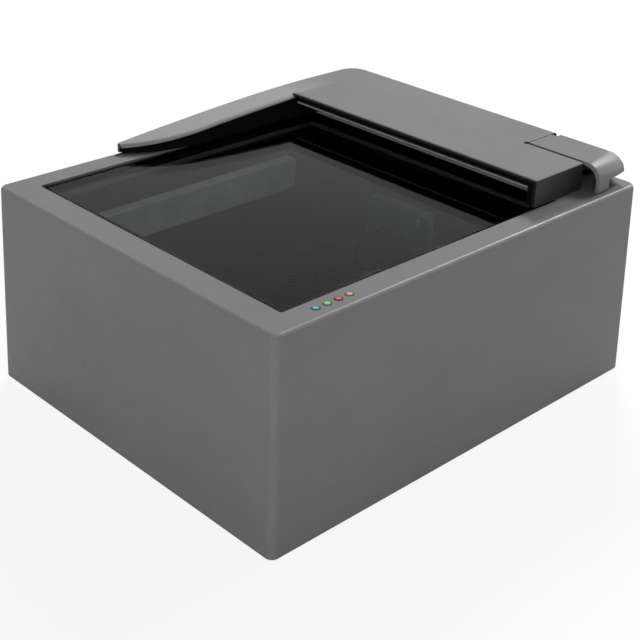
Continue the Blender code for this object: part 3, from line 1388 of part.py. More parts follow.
def make_radio_board(look):
    """Board of the contactless chip reader, beside the main board, with its soldered shield can."""
    x, y = radio_limits()
    board = block(x, y, (BOARD_BOTTOM, BOARD_TOP))
    for place in radio_hole_places().values():
        hole = (BOARD_BOTTOM - OVERRUN, BOARD_TOP + OVERRUN)
        cut(board, rod(place, SMALL_HOLE_RADIUS, hole, sides=SMALL_SIDES))
    middle = (sum(x) / 2, sum(y) / 2)
    can_x = widened((middle[0], middle[0]), SHIELD_WIDTH / 2)
    can_y = widened((middle[1], middle[1]), SHIELD_DEPTH / 2)
    join(board, block(can_x, can_y, (BOARD_TOP - WELD, BOARD_TOP + SHIELD_HEIGHT)))
    return finish(board, "rfid_board", look)


def make_antenna_lead(look):
    """Thin lead from the aerial's edge down to the radio board, bowed once on its way."""
    x_top = WINDOW_RIGHT - GLASS_INSET - LEDGE_WIDTH + ANTENNA_WIDTH - LEAD_FROM_TUB
    x_low = radio_limits()[0][0] + LEAD_FROM_TUB
    y = FRONT + LEAD_NOTCH_FROM_FRONT
    top = ANTENNA_TOP - ANTENNA_THICKNESS - GAP
    low = BOARD_TOP + GAP
    curve = bpy.data.curves.new("antenna_lead", "CURVE")
    curve.dimensions = "3D"
    curve.bevel_depth = LEAD_RADIUS
    curve.bevel_resolution = 2
    curve.use_fill_caps = True
    spline = curve.splines.new("POLY")
    spline.points.add(LEAD_POINTS)
    for i in range(LEAD_POINTS + 1):
        way = i / LEAD_POINTS
        ease = way * way * (3 - 2 * way)
        bow = LEAD_SLACK * math.sin(math.pi * way) ** 2
        spline.points[i].co = (x_top + (x_low - x_top) * ease + bow, y, top + (low - top) * way, 1.0)
    lead = bpy.data.objects.new("antenna_lead", curve)
    bpy.context.collection.objects.link(lead)
    curve.materials.append(look)
    return lead


def make_flat_cable(look):
    """Flat cable from the camera board's connector through the tub's floor to the main board's."""
    half = CABLE_WIDTH / 2
    low, high = cable_ends()
    return finish(block(cable_x(), (-half, half), (low, high)), "flat_cable", look)


def cable_ends():
    """Heights of the flat cable's two ends, at the connectors' mouths."""
    low = BOARD_TOP + GAP + CONNECTOR_HEIGHT + GAP
    high = CAMERA_HEIGHT - CAMERA_BOARD_SIDE / 2 + CAMERA_SCREW_INSET / 2
    return low, high


def build():
    """Make every sub-part."""
    clear_scene()
    grey = material("grey_moulding", (0.155, 0.155, 0.155), 0.5)
    black = material("black_moulding", (0.012, 0.012, 0.013), 0.45)
    rubber = material("rubber", (0.015, 0.015, 0.015), 0.9)
    steel = material("zinc_steel", (0.55, 0.55, 0.56), 0.35, 1.0)
    green_board = material("board_green", (0.02, 0.10, 0.045), 0.45)
    chip = material("chip_black", (0.02, 0.02, 0.022), 0.4)
    tin = material("tinned_steel", (0.62, 0.62, 0.60), 0.3, 1.0)
    aluminium = material("aluminium", (0.70, 0.70, 0.71), 0.35, 1.0)
    glass = material("window_glass", (0.045, 0.05, 0.048), 0.05)
    mirror = material("mirror", (0.85, 0.86, 0.87), 0.03, 1.0)
    frosted = material("frosted_plastic", (0.8, 0.8, 0.8), 0.6)
    lens = material("lens_coating", (0.03, 0.03, 0.06), 0.05)
    sleeve = material("lead_sleeve", (0.02, 0.02, 0.02), 0.5)
    film = material("cable_film", (0.75, 0.76, 0.78), 0.45)
    lights = {
        "blue": (0.02, 0.35, 0.62),
        "green": (0.05, 0.45, 0.10),
        "red": (0.60, 0.05, 0.05),
        "amber": (0.62, 0.45, 0.03),
    }
    make_body_shell(grey)
    make_base_plate(black)
    make_feet(rubber)
    make_base_screws(steel)
    make_glass(glass)
    make_window_seal(black)
    make_hood_shell(grey)
    make_hood_liner(black)
    make_page_guide(grey)
    make_hood_screws(steel)
    make_flap(grey)
    make_flap_pin(steel)
    make_card_socket(black)
    make_card_socket_cover(tin)
    for name, place in zip(LIGHT_NAMES, light_places()):
        make_status_lens(name, place, material("light_" + name, lights[name], 0.3))
    make_led_board(green_board)
    make_optics_tub(black)
    make_tub_screws(steel)
    make_antenna(green_board)
    make_fold_mirror(mirror)
    make_mirror_bracket(black)
    make_camera_bracket(aluminium)
    make_camera_board(green_board)
    make_camera_screws(steel)
    make_lens_barrel(black)
    make_lens_glass(lens)
    for side, name in ((-1, "front"), (1, "back")):
        make_light_bar(side, name, green_board)
        make_diffuser(side, name, frosted)
    make_main_board(green_board)
    make_board_screws(steel)
    make_heatsink(aluminium)
    make_beeper(chip)
    make_usb_socket(tin)
    make_power_jack(black)
    make_radio_board(green_board)
    make_antenna_lead(sleeve)
    make_flat_cable(film)


build()
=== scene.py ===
# %% [markdown]
# # A desktop passport reader, dressed
#
# The packed CAD model is the frame of this lesson. It comes in as plain solids, in metres, with the
# footprint's middle at the origin, +X to the user's right and +Z up. Every cell below gives the
# solids their looks: softened edges, a fine moulded grain, glass, rubber, boards and lights.
#
# Nothing is moved. Where a solid is shown better by a smoother surface, a new piece takes its place
# in the picture and the solid stays behind for collision.

# %% Load the frame
import json
import math

import bmesh
import bpy
import numpy as np
from mathutils import Matrix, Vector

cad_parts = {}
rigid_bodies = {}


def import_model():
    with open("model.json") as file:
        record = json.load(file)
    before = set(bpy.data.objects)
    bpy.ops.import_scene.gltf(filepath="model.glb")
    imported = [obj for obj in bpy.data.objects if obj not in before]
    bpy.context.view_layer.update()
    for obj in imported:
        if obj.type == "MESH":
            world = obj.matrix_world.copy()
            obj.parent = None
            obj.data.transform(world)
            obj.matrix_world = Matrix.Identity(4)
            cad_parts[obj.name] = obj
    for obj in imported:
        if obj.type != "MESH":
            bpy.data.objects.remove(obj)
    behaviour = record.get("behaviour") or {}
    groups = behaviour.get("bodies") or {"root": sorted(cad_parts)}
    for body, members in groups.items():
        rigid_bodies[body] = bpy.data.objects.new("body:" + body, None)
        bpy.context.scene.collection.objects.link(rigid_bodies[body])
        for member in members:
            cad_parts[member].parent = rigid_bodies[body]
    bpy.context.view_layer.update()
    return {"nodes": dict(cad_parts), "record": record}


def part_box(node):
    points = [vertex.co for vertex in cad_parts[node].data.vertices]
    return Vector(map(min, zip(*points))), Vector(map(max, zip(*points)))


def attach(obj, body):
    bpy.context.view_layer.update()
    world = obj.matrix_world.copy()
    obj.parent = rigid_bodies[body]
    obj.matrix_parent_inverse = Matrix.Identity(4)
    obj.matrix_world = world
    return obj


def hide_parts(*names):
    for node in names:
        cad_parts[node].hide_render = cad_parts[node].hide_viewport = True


for leftover in list(bpy.data.objects):
    bpy.data.objects.remove(leftover)
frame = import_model()
nodes = frame["nodes"]

# %% [markdown]
# ## Where the camera stands
#
# The camera looks over the reader's front left corner, a little more than half a metre away. Its
# place came from the corners of the housing and the hood in the photograph: the turn, the height,
# the small roll and the lens that bring those corners closest to where the picture has them. The
# near place gives the two long sides their perspective, and the long lens fills the frame.

# %% Camera
PHOTO_SIDE = 640.0
SENSOR = 36.0


def stand_camera(azimuth, elevation, roll, place, focal_pixels):
    """Camera at a place, turned round Z by azimuth from +Y, tipped down by elevation and rolled."""
    a, e, r = (math.radians(v) for v in (azimuth, elevation, roll))
    back = np.array([math.sin(a) * math.cos(e), -math.cos(a) * math.cos(e), math.sin(e)])
    right = np.cross(-back, (0.0, 0.0, 1.0))
    right /= np.linalg.norm(right)
    up = np.cross(right, -back)
    turned_right = math.cos(r) * right + math.sin(r) * up
    turned_up = math.cos(r) * up - math.sin(r) * right
    axes = np.eye(4)
    axes[:3, :3] = np.column_stack((turned_right, turned_up, back))
    axes[:3, 3] = place
    lens = bpy.data.cameras.new("camera")
    lens.sensor_width = SENSOR
    lens.lens = focal_pixels / PHOTO_SIDE * SENSOR
    lens.clip_start = 0.01
    made = bpy.data.objects.new("camera", lens)
    bpy.context.scene.collection.objects.link(made)
    made.matrix_world = Matrix(axes.tolist())
    bpy.context.scene.camera = made
    return made


CAMERA_PLACE = (-0.38199, -0.38645, 0.31762)
FOCAL_PIXELS = 1285.8
camera = stand_camera(-44.66, 28.03, 1.95, CAMERA_PLACE, FOCAL_PIXELS)
print(f"lens {camera.data.lens:.1f} mm, {camera.location.length:.2f} m from the origin")

# %% [markdown]
# ## A small kit for procedural finishes
#
# Each finish is a set of shader nodes that read the piece's own coordinates, so the pattern stays
# on the surface from any side. `Finish` keeps the repeated wiring in one place: a noise, a ramp
# between two values, a mix of two colours and a bump. Numbers that are the same everywhere are set
# on the shader itself, which is what other programs can read back.

# %% Node helpers
class Finish:
    """A material with a Principled shader, and short ways to add the nodes that drive it."""

    def __init__(self, name, colour, roughness, metallic=0.0, specular=0.5):
        self.made = bpy.data.materials.new(name)
        self.made.use_nodes = True
        self.tree = self.made.node_tree
        self.shader = self.tree.nodes["Principled BSDF"]
        self.shader.inputs["Base Color"].default_value = (*colour, 1.0)
        self.shader.inputs["Roughness"].default_value = roughness
        self.shader.inputs["Metallic"].default_value = metallic
        self.shader.inputs["Specular IOR Level"].default_value = specular
        self.made.diffuse_color = (*colour, 1.0)
        self.place = self.tree.nodes.new("ShaderNodeTexCoord").outputs["Object"]

    def link(self, source, target):
        """Join an output to an input."""
        self.tree.links.new(source, target)

    def noise(self, cell, detail=2.0, stretch=(1.0, 1.0, 1.0)):
        """Noise whose lumps are about `cell` metres across, stretched along the axes."""
        mapping = self.tree.nodes.new("ShaderNodeMapping")
        mapping.inputs["Scale"].default_value = stretch
        self.link(self.place, mapping.inputs["Vector"])
        made = self.tree.nodes.new("ShaderNodeTexNoise")
        made.inputs["Scale"].default_value = 1.0 / cell
        made.inputs["Detail"].default_value = detail
        self.link(mapping.outputs["Vector"], made.inputs["Vector"])
        return made.outputs["Fac"]

    def cells(self, size):
        """Distance to the nearest of scattered points, about `size` metres apart."""
        made = self.tree.nodes.new("ShaderNodeTexVoronoi")
        made.inputs["Scale"].default_value = 1.0 / size
        self.link(self.place, made.inputs["Vector"])
        return made.outputs["Distance"]

    def ramp(self, source, low, high, out_low, out_high):
        """Carry a value's range over to another range, held at its ends."""
        made = self.tree.nodes.new("ShaderNodeMapRange")
        made.inputs["From Min"].default_value = low
        made.inputs["From Max"].default_value = high
        made.inputs["To Min"].default_value = out_low
        made.inputs["To Max"].default_value = out_high
        self.link(source, made.inputs["Value"])
        return made.outputs["Result"]

    def sums(self, operation, first, second):
        """One sum of two values, each an output or a number."""
        made = self.tree.nodes.new("ShaderNodeMath")
        made.operation = operation
        for socket, value in zip(made.inputs, (first, second)):
            if isinstance(value, (int, float)):
                socket.default_value = value
            else:
                self.link(value, socket)
        return made.outputs["Value"]

    def axis(self, name, of="Object"):
        """One coordinate of the surface point, or of the piece's own normal there."""
        made = self.tree.nodes.new("ShaderNodeSeparateXYZ")
        self.link(self.place.node.outputs[of], made.inputs["Vector"])
        return made.outputs[name]

    def blend(self, share, first, second):
        """Mix two colours, each a triple or an output."""
        made = self.tree.nodes.new("ShaderNodeMix")
        made.data_type = "RGBA"
        self.link(share, made.inputs["Factor"])
        for socket, value in ((made.inputs[6], first), (made.inputs[7], second)):
            if isinstance(value, tuple):
                socket.default_value = (*value, 1.0)
            else:
                self.link(value, socket)
        return made.outputs[2]

    def bump(self, height, depth, under=None):
        """Tilt the surface by a height pattern that is `depth` metres deep."""
        made = self.tree.nodes.new("ShaderNodeBump")
        made.inputs["Strength"].default_value = 1.0
        made.inputs["Distance"].default_value = depth
        self.link(height, made.inputs["Height"])
        if under is not None:
            self.link(under, made.inputs["Normal"])
        return made.outputs["Normal"]

    def colour(self, source):
        """Drive the base colour."""
        self.link(source, self.shader.inputs["Base Color"])

    def rough(self, source):
        """Drive the roughness."""
        self.link(source, self.shader.inputs["Roughness"])

    def normal(self, source):
        """Drive the normal, most often by a bump."""
        self.link(source, self.shader.inputs["Normal"])


print("finish helpers:", ", ".join(name for name in vars(Finish) if name[0] != "_"))

# %% [markdown]
# ## The grey moulding
#
# The housing, the hood and the flap are injection moulded in one grey plastic. The mould was spark
# eroded, which leaves a fine even grain on the part, about four tenths of a millimetre across and
# a few hundredths deep. The colour is nearly flat, with a faint cloudiness from the flow of the
# melt. Along the rounded outer edges the grain is worn smoother and the colour turns paler,
# partly from wear and partly as a painted highlight that draws the light line along the front
# edge. The back arm is smoother and paler too, and its paleness is painted sheen. A mask made of
# the piece's own normals turns the hood's walls towards the window nearly black, and on the wide
# arm's end that black deepens towards the flap as painted shade.

# %% Grey moulding
GREY = (0.200, 0.200, 0.199)
# Paler grey for worn edges, and for the painted highlight and painted sheen laid on them.
PALER_GREY = (0.42, 0.42, 0.415)
# Near black of the hood's walls towards the window, and painted shade on the wide arm's end.
WALL_BLACK_AND_SHADE = (0.006, 0.006, 0.006)
GRAIN_ACROSS, GRAIN_DEPTH = 0.00042, 0.00006


def edge_wear_and_highlight(finish):
    """Share of wear and painted highlight, from the piece's own normal:
    it lies where an edge turns over to level.
    """
    upright = finish.sums("ABSOLUTE", finish.axis("Z", "Normal"), 0.0)
    rising = finish.ramp(upright, 0.28, 0.55, 0.0, 1.0)
    falling = finish.ramp(upright, 0.965, 0.998, 1.0, 0.0)
    patchy = finish.ramp(finish.noise(0.012, 4.0), 0.35, 0.65, 0.75, 1.0)
    return finish.sums("MULTIPLY", finish.sums("MULTIPLY", rising, falling), patchy)


def grey_moulding(name, more_sheen_and_polish=None, walls_and_shade=None):
    """Mid grey plastic with a spark eroded grain, faint flow clouds and worn rounded edges,
    which are paler from wear and from a painted highlight.

    The first mask adds painted sheen and smoothing, the second near black walls and painted shade."""
    finish = Finish(name, GREY, 0.68, specular=0.25)
    grain = finish.cells(GRAIN_ACROSS)
    fine = finish.noise(0.00018, 2.0)
    cloud = finish.ramp(finish.noise(0.045, 3.0, (1.0, 1.0, 2.2)), 0.3, 0.7, 0.0, 1.0)
    base = finish.blend(cloud, (0.192, 0.192, 0.192), (0.206, 0.206, 0.204))
    speck = finish.ramp(grain, 0.0, 0.9, 0.0, 0.12)
    base = finish.blend(speck, base, (0.27, 0.27, 0.268))
    rub_and_highlight = edge_wear_and_highlight(finish)
    # The back arm's mask adds painted sheen as a paler colour, and a smoother surface.
    if more_sheen_and_polish is not None:
        smooth_and_sheen = finish.sums("MULTIPLY", more_sheen_and_polish(finish), 0.8)
        rub_and_highlight = finish.sums("MAXIMUM", rub_and_highlight, smooth_and_sheen)
    # Painted highlight and painted sheen, with some wear: the colour turns paler on the rounded
    # edges and the back arm.
    base = finish.blend(finish.sums("MULTIPLY", rub_and_highlight, 0.40), base, PALER_GREY)
    # The walls towards the window go near black, and the wide arm's end gets painted shade that
    # deepens towards the flap.
    if walls_and_shade is not None:
        base = finish.blend(walls_and_shade(finish), base, WALL_BLACK_AND_SHADE)
    finish.colour(base)
    matt = finish.ramp(finish.noise(0.006, 3.0), 0.3, 0.7, 0.66, 0.74)
    finish.rough(finish.sums("SUBTRACT", matt, finish.sums("MULTIPLY", rub_and_highlight, 0.43)))
    left_over = finish.sums("SUBTRACT", 1.0, finish.sums("MULTIPLY", rub_and_highlight, 0.9))
    coarse = finish.bump(finish.sums("MULTIPLY", grain, left_over), GRAIN_DEPTH)
    finish.normal(finish.bump(finish.sums("MULTIPLY", fine, left_over), 0.00002, coarse))
    return finish.made


def back_arm_sheen_and_polish(finish):
    """Share of painted sheen and smoothing on the hood's back arm, fading out towards the corner.
    """
    behind = finish.ramp(finish.axis("Y"), 0.0740, 0.0775, 0.0, 1.0)
    leftward = finish.ramp(finish.axis("X"), 0.0480, 0.0850, 1.0, 0.0)
    return finish.sums("MULTIPLY", behind, leftward)


def black_walls_and_end_shade(finish):
    """Share of black on the hood: all of it on walls towards the window, less on the arm's end.

    A wall looks at the window when its own normal points to -X or -Y nearly level. The end of the
    wide arm is the wall in front of Y -0.0775. There the black is painted shade, deeper by the
    flap."""
    left = finish.ramp(finish.axis("X", "Normal"), -0.90, -0.75, 1.0, 0.0)
    front = finish.ramp(finish.axis("Y", "Normal"), -0.93, -0.80, 1.0, 0.0)
    end = finish.ramp(finish.axis("Y"), -0.0775, -0.0770, 1.0, 0.0)
    # Painted shade on the end: the black deepens towards the flap.
    deepening_shade = finish.ramp(finish.axis("X"), 0.0520, 0.0780, 0.80, 1.0)
    shade_on_end = finish.sums("MULTIPLY", finish.sums("MULTIPLY", front, end), deepening_shade)
    inside = finish.sums("MULTIPLY", front, finish.sums("SUBTRACT", 1.0, end))
    return finish.sums("MAXIMUM", finish.sums("MAXIMUM", left, inside), shade_on_end)


GREY_MOULDING = grey_moulding("grey_moulding_grain")
# The hood adds painted sheen on its back arm, near black walls and painted shade on the arm's end.
HOOD_MOULDING = grey_moulding("hood_moulding_grain", back_arm_sheen_and_polish, black_walls_and_end_shade)
print("made", GREY_MOULDING.name, "and", HOOD_MOULDING.name)

# %% [markdown]
# ## Black mouldings and rubber
#
# The base plate, the power socket and the lens barrel are black plastic, which shows its gloss
# more than its colour, so most of the detail is in roughness: a fine grain with smoother patches.
# The liner, the tub and the seal lie round the window, so they wear a flat paint that throws
# almost nothing back. Rubber is dull and slightly dusty, with no clear highlight.

# %% Black moulding and rubber
def black_moulding():
    """Black plastic with a fine grain and slightly uneven gloss."""
    finish = Finish("black_moulding_grain", (0.008, 0.008, 0.008), 0.6, specular=0.3)
    grain = finish.cells(0.0005)
    cloud = finish.ramp(finish.noise(0.03, 3.0), 0.3, 0.7, 0.0, 1.0)
    finish.colour(finish.blend(cloud, (0.006, 0.006, 0.006), (0.011, 0.011, 0.011)))
    finish.rough(finish.ramp(finish.noise(0.008, 4.0), 0.3, 0.7, 0.52, 0.66))
    finish.normal(finish.bump(grain, 0.00005))
    return finish.made


def light_trap():
    """Flat black paint round the window: it swallows stray light."""
    finish = Finish("light_trap_paint", (0.004, 0.004, 0.004), 0.9, specular=0.08)
    dust = finish.ramp(finish.noise(0.003, 5.0), 0.50, 0.80, 0.0, 1.0)
    finish.colour(finish.blend(dust, (0.0035, 0.0035, 0.0035), (0.006, 0.006, 0.006)))
    finish.rough(finish.ramp(finish.noise(0.004, 3.0), 0.3, 0.7, 0.86, 0.94))
    finish.normal(finish.bump(finish.cells(0.0004), 0.000012))
    return finish.made


def rubber():
    """Dull black rubber with moulding dust in its pores."""
    finish = Finish("foot_rubber", (0.022, 0.022, 0.022), 0.85, specular=0.35)
    pores = finish.cells(0.0006)
    dust = finish.ramp(finish.noise(0.004, 5.0), 0.45, 0.75, 0.0, 1.0)
    finish.colour(finish.blend(dust, (0.018, 0.018, 0.018), (0.045, 0.043, 0.040)))
    finish.rough(finish.ramp(finish.noise(0.002, 2.0), 0.3, 0.7, 0.78, 0.92))
    finish.normal(finish.bump(pores, 0.00008))
    return finish.made


BLACK_MOULDING = black_moulding()
LIGHT_TRAP = light_trap()
RUBBER = rubber()
print("made", BLACK_MOULDING.name, "and", RUBBER.name)

# %% [markdown]
# ## Glass, mirror and lens
#
# The window is a real pane, so it gets the real shader: light passes through it into the black tub,
# and the white surround lies on top of it as a weak reflection. A reader's window is coated against
# reflections. The shader has no socket for such a coating on glass, so the pane gets the refractive
# index whose plain reflection is as weak. A very faint smear in the roughness keeps it from looking
# computed. The folding mirror is a metal with almost no roughness, and the camera's front element
# carries the violet tint of its coating.

# %% Clear and mirrored finishes
def window_glass():
    """Coated pane, slightly green in depth, with faint wiping marks in its gloss."""
    finish = Finish("window_pane", (0.40, 0.43, 0.42), 0.02)
    finish.shader.inputs["Transmission Weight"].default_value = 1.0
    finish.shader.inputs["IOR"].default_value = 1.12
    wipe = finish.noise(0.03, 3.0, (1.0, 4.0, 1.0))
    finish.rough(finish.ramp(wipe, 0.40, 0.75, 0.010, 0.022))
    return finish.made


def mirror():
    """Front-surface mirror with a trace of dust."""
    finish = Finish("front_mirror", (0.82, 0.83, 0.84), 0.03, 1.0)
    finish.rough(finish.ramp(finish.noise(0.006, 3.0), 0.40, 0.8, 0.020, 0.045))
    tint = finish.ramp(finish.noise(0.05, 2.0), 0.3, 0.7, 0.0, 1.0)
    finish.colour(finish.blend(tint, (0.80, 0.82, 0.83), (0.85, 0.85, 0.84)))
    return finish.made


def from_axis(finish, names, centre):
    """Distance of the surface point from a line through `centre` that runs along the third axis."""
    squares = []
    for name, middle in zip(names, centre):
        off = finish.sums("SUBTRACT", finish.axis(name), middle)
        squares.append(finish.sums("MULTIPLY", off, off))
    return finish.sums("SQRT", finish.sums("ADD", *squares), 0.0)


def lens_coating():
    """Dark glass whose coating turns from violet in the middle to green at the rim."""
    finish = Finish("coated_lens", (0.02, 0.03, 0.05), 0.04)
    low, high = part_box("lens_glass")
    middle = ((low.y + high.y) / 2, (low.z + high.z) / 2)
    way = finish.ramp(from_axis(finish, "YZ", middle), 0.001, (high.y - low.y) / 2, 0.0, 1.0)
    finish.colour(finish.blend(way, (0.040, 0.018, 0.085), (0.010, 0.055, 0.038)))
    finish.rough(finish.ramp(finish.noise(0.002, 3.0), 0.4, 0.8, 0.02, 0.07))
    finish.shader.inputs["Coat Weight"].default_value = 1.0
    finish.shader.inputs["Coat Roughness"].default_value = 0.02
    return finish.made


def frosted():
    """Milky diffuser plastic, lightly uneven."""
    finish = Finish("frosted_diffuser", (0.50, 0.51, 0.52), 0.6)
    milk = finish.ramp(finish.noise(0.01, 3.0), 0.3, 0.7, 0.0, 1.0)
    finish.colour(finish.blend(milk, (0.40, 0.41, 0.42), (0.52, 0.53, 0.54)))
    finish.rough(finish.ramp(finish.noise(0.001, 2.0), 0.3, 0.7, 0.52, 0.66))
    finish.normal(finish.bump(finish.noise(0.0004, 2.0), 0.00004))
    return finish.made


GLASS = window_glass()
MIRROR = mirror()
LENS = lens_coating()
FROSTED = frosted()
print("made", GLASS.name, MIRROR.name, LENS.name, FROSTED.name)

# %% [markdown]
# ## Boards and their parts
#
# A circuit board is green solder mask over copper. Under the mask the tracks stand a few hundredths
# of a millimetre high and show as a lighter green. The pattern is stripes along one axis or the
# other, and a coarse noise chooses which, patch by patch. A chip rides on its board's solid, so
# the board's finish turns to the chip's colour past the board's face. The tinned and zinc plated
# parts are metals with fine streaks.

# %% Boards, chips and metals
def stripes(finish, across, pitch):
    """Raised half of a wave over an axis or any other distance, `pitch` metres long."""
    turns = finish.sums("MULTIPLY", across, 2 * math.pi / pitch)
    return finish.ramp(finish.sums("SINE", turns, 0.0), 0.1, 0.3, 0.0, 1.0)


def tracks(finish, pitch, names):
    """Share of copper under the mask: stripes along one axis or the other, patch by patch."""
    choose = finish.ramp(finish.noise(0.016, 1.0), 0.48, 0.52, 0.0, 1.0)
    first = finish.sums("MULTIPLY", stripes(finish, finish.axis(names[0]), pitch), choose)
    rest = finish.sums("SUBTRACT", 1.0, choose)
    second = finish.sums("MULTIPLY", stripes(finish, finish.axis(names[1]), pitch), rest)
    return finish.sums("ADD", first, second)


CHIP_GREY = (0.022, 0.022, 0.024)


def board(name, names="XY", side="Z", face=None, way=1.0, parts=CHIP_GREY):
    """Green solder mask over raised tracks. Past `face` along the third axis come the parts."""
    finish = Finish(name, (0.02, 0.10, 0.045), 0.4)
    copper = tracks(finish, 0.0016, names)
    green = finish.blend(copper, (0.012, 0.070, 0.032), (0.030, 0.140, 0.062))
    gloss = finish.ramp(finish.noise(0.004, 3.0), 0.3, 0.7, 0.32, 0.46)
    if face is not None:
        past = finish.sums("MULTIPLY", finish.sums("SUBTRACT", finish.axis(side), face), way)
        is_part = finish.ramp(past, 0.00002, 0.00006, 0.0, 1.0)
        mottle = finish.ramp(finish.noise(0.002, 4.0), 0.3, 0.7, 0.0, 1.0)
        paler = tuple(1.3 * c for c in parts)
        green = finish.blend(is_part, green, finish.blend(mottle, parts, paler))
        copper = finish.sums("MULTIPLY", copper, finish.sums("SUBTRACT", 1.0, is_part))
    finish.colour(green)
    finish.rough(gloss)
    finish.normal(finish.bump(copper, 0.00003))
    return finish.made


def loop_antenna():
    """Black masked frame over the reader's coil: raised lines that run round as rectangles."""
    finish = Finish("antenna_coil", (0.006, 0.006, 0.005), 0.6, specular=0.2)
    low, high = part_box("rfid_antenna")
    rim = []
    for name in "xy":
        middle = (getattr(low, name) + getattr(high, name)) / 2
        half = (getattr(high, name) - getattr(low, name)) / 2
        along_axis = finish.sums("SUBTRACT", finish.axis(name.upper()), middle)
        off = finish.sums("ABSOLUTE", along_axis, 0.0)
        rim.append(finish.sums("SUBTRACT", half, off))
    lines = stripes(finish, finish.sums("MINIMUM", *rim), 0.0011)
    finish.colour(finish.blend(lines, (0.005, 0.006, 0.005), (0.016, 0.013, 0.008)))
    finish.rough(finish.ramp(finish.noise(0.003, 3.0), 0.3, 0.7, 0.52, 0.68))
    finish.normal(finish.bump(lines, 0.00004))
    return finish.made


def ribbon():
    """White film with flat conductors that show through as faint grey lines."""
    finish = Finish("ribbon_film", (0.68, 0.69, 0.71), 0.45)
    lines = stripes(finish, finish.axis("Y"), 0.0010)
    finish.colour(finish.blend(lines, (0.72, 0.73, 0.75), (0.52, 0.53, 0.55)))
    finish.rough(finish.ramp(finish.noise(0.002, 2.0), 0.3, 0.7, 0.38, 0.52))
    finish.normal(finish.bump(lines, 0.00005))
    return finish.made


def metal(name, colour, roughness, streak):
    """Plated or plain metal with streaks of gloss; streak stretches them along the axes."""
    finish = Finish(name, colour, roughness, 1.0)
    lines = finish.noise(0.0008, 3.0, streak)
    darker = tuple(0.82 * c for c in colour)
    finish.colour(finish.blend(finish.ramp(lines, 0.3, 0.7, 0.0, 1.0), darker, colour))
    finish.rough(finish.ramp(lines, 0.3, 0.7, roughness - 0.08, roughness + 0.08))
    finish.normal(finish.bump(lines, 0.00001))
    return finish.made


def dull(name, colour, roughness, cell):
    """Plain dull plastic or film with a little mottling."""
    finish = Finish(name, colour, roughness)
    mottle = finish.ramp(finish.noise(cell, 4.0), 0.3, 0.7, 0.0, 1.0)
    darker, paler = (tuple(share * c for c in colour) for share in (0.8, 1.15))
    finish.colour(finish.blend(mottle, darker, paler))
    smear = finish.noise(cell / 3, 2.0)
    finish.rough(finish.ramp(smear, 0.3, 0.7, roughness - 0.06, roughness + 0.06))
    finish.normal(finish.bump(finish.noise(0.0003, 2.0), 0.00002))
    return finish.made


FINISHES = {
    "grey_moulding": GREY_MOULDING,
    "black_moulding": BLACK_MOULDING,
    "rubber": RUBBER,
    "window_glass": GLASS,
    "mirror": MIRROR,
    "lens_coating": LENS,
    "frosted_plastic": FROSTED,
    "board": board("board_mask"),
    "aluminium": metal("plain_aluminium", (0.70, 0.70, 0.71), 0.36, (1.0, 6.0, 1.0)),
    "tinned_steel": metal("tinned_sheet", (0.62, 0.62, 0.60), 0.30, (6.0, 1.0, 1.0)),
    "zinc_steel": metal("zinc_plate", (0.55, 0.55, 0.56), 0.34, (1.0, 1.0, 1.0)),
    "chip_black": dull("chip_epoxy", CHIP_GREY, 0.45, 0.002),
    "lead_sleeve": dull("lead_sleeve_vinyl", (0.022, 0.022, 0.022), 0.5, 0.003),
    "cable_film": ribbon(),
}
BOARD, LIGHT_STRIP = 0.0016, 0.0012  # thickness in metres
MODULE_GREY, LED_CREAM = (0.50, 0.50, 0.49), (0.72, 0.71, 0.66)
MAIN_FACE, RADIO_FACE = (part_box(name)[0].z + BOARD for name in ("main_board", "rfid_board"))
CAMERA_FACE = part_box("camera_board")[1].x - BOARD
LIGHT_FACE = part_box("led_board")[0].z + LIGHT_STRIP
OWN_FINISH = {
    "hood_shell": HOOD_MOULDING,
    "hood_liner": LIGHT_TRAP,
    "optics_tub": LIGHT_TRAP,
    "window_seal": LIGHT_TRAP,
    "page_guide": dull("page_guide_grey", (0.34, 0.34, 0.33), 0.55, 0.004),
    "card_socket_cover": metal("socket_cover_zinc", (0.36, 0.36, 0.37), 0.50, (2.0, 1.0, 1.0)),
    "rfid_antenna": loop_antenna(),
    "main_board": board("main_board_mask", face=MAIN_FACE),
    "rfid_board": board("radio_board_mask", face=RADIO_FACE, parts=MODULE_GREY),
    "camera_board": board("camera_board_mask", "YZ", "X", CAMERA_FACE, -1.0),
    "led_board": board("light_board_mask", face=LIGHT_FACE, parts=LED_CREAM),
}
print(f"{len(FINISHES)} finishes and {len(OWN_FINISH)} for single pieces")

# %% [markdown]
# ## The status lights' colours
#
# Each status light is a short light guide of tinted clear plastic, lit from below even at rest. The
# middle glows where the chip shines up, and the rim is darker where the guide meets the deck. The
# pattern is the distance from the guide's own axis, so each light has its own centre.

# %% Light guides' finish
LIGHT_COLOURS = {
    "blue": ((0.16, 0.46, 0.45), (0.02, 0.12, 0.15)),
    "green": ((0.30, 0.62, 0.22), (0.04, 0.16, 0.04)),
    "red": ((0.56, 0.17, 0.19), (0.17, 0.02, 0.03)),
    "amber": ((0.66, 0.42, 0.19), (0.20, 0.11, 0.03)),
}


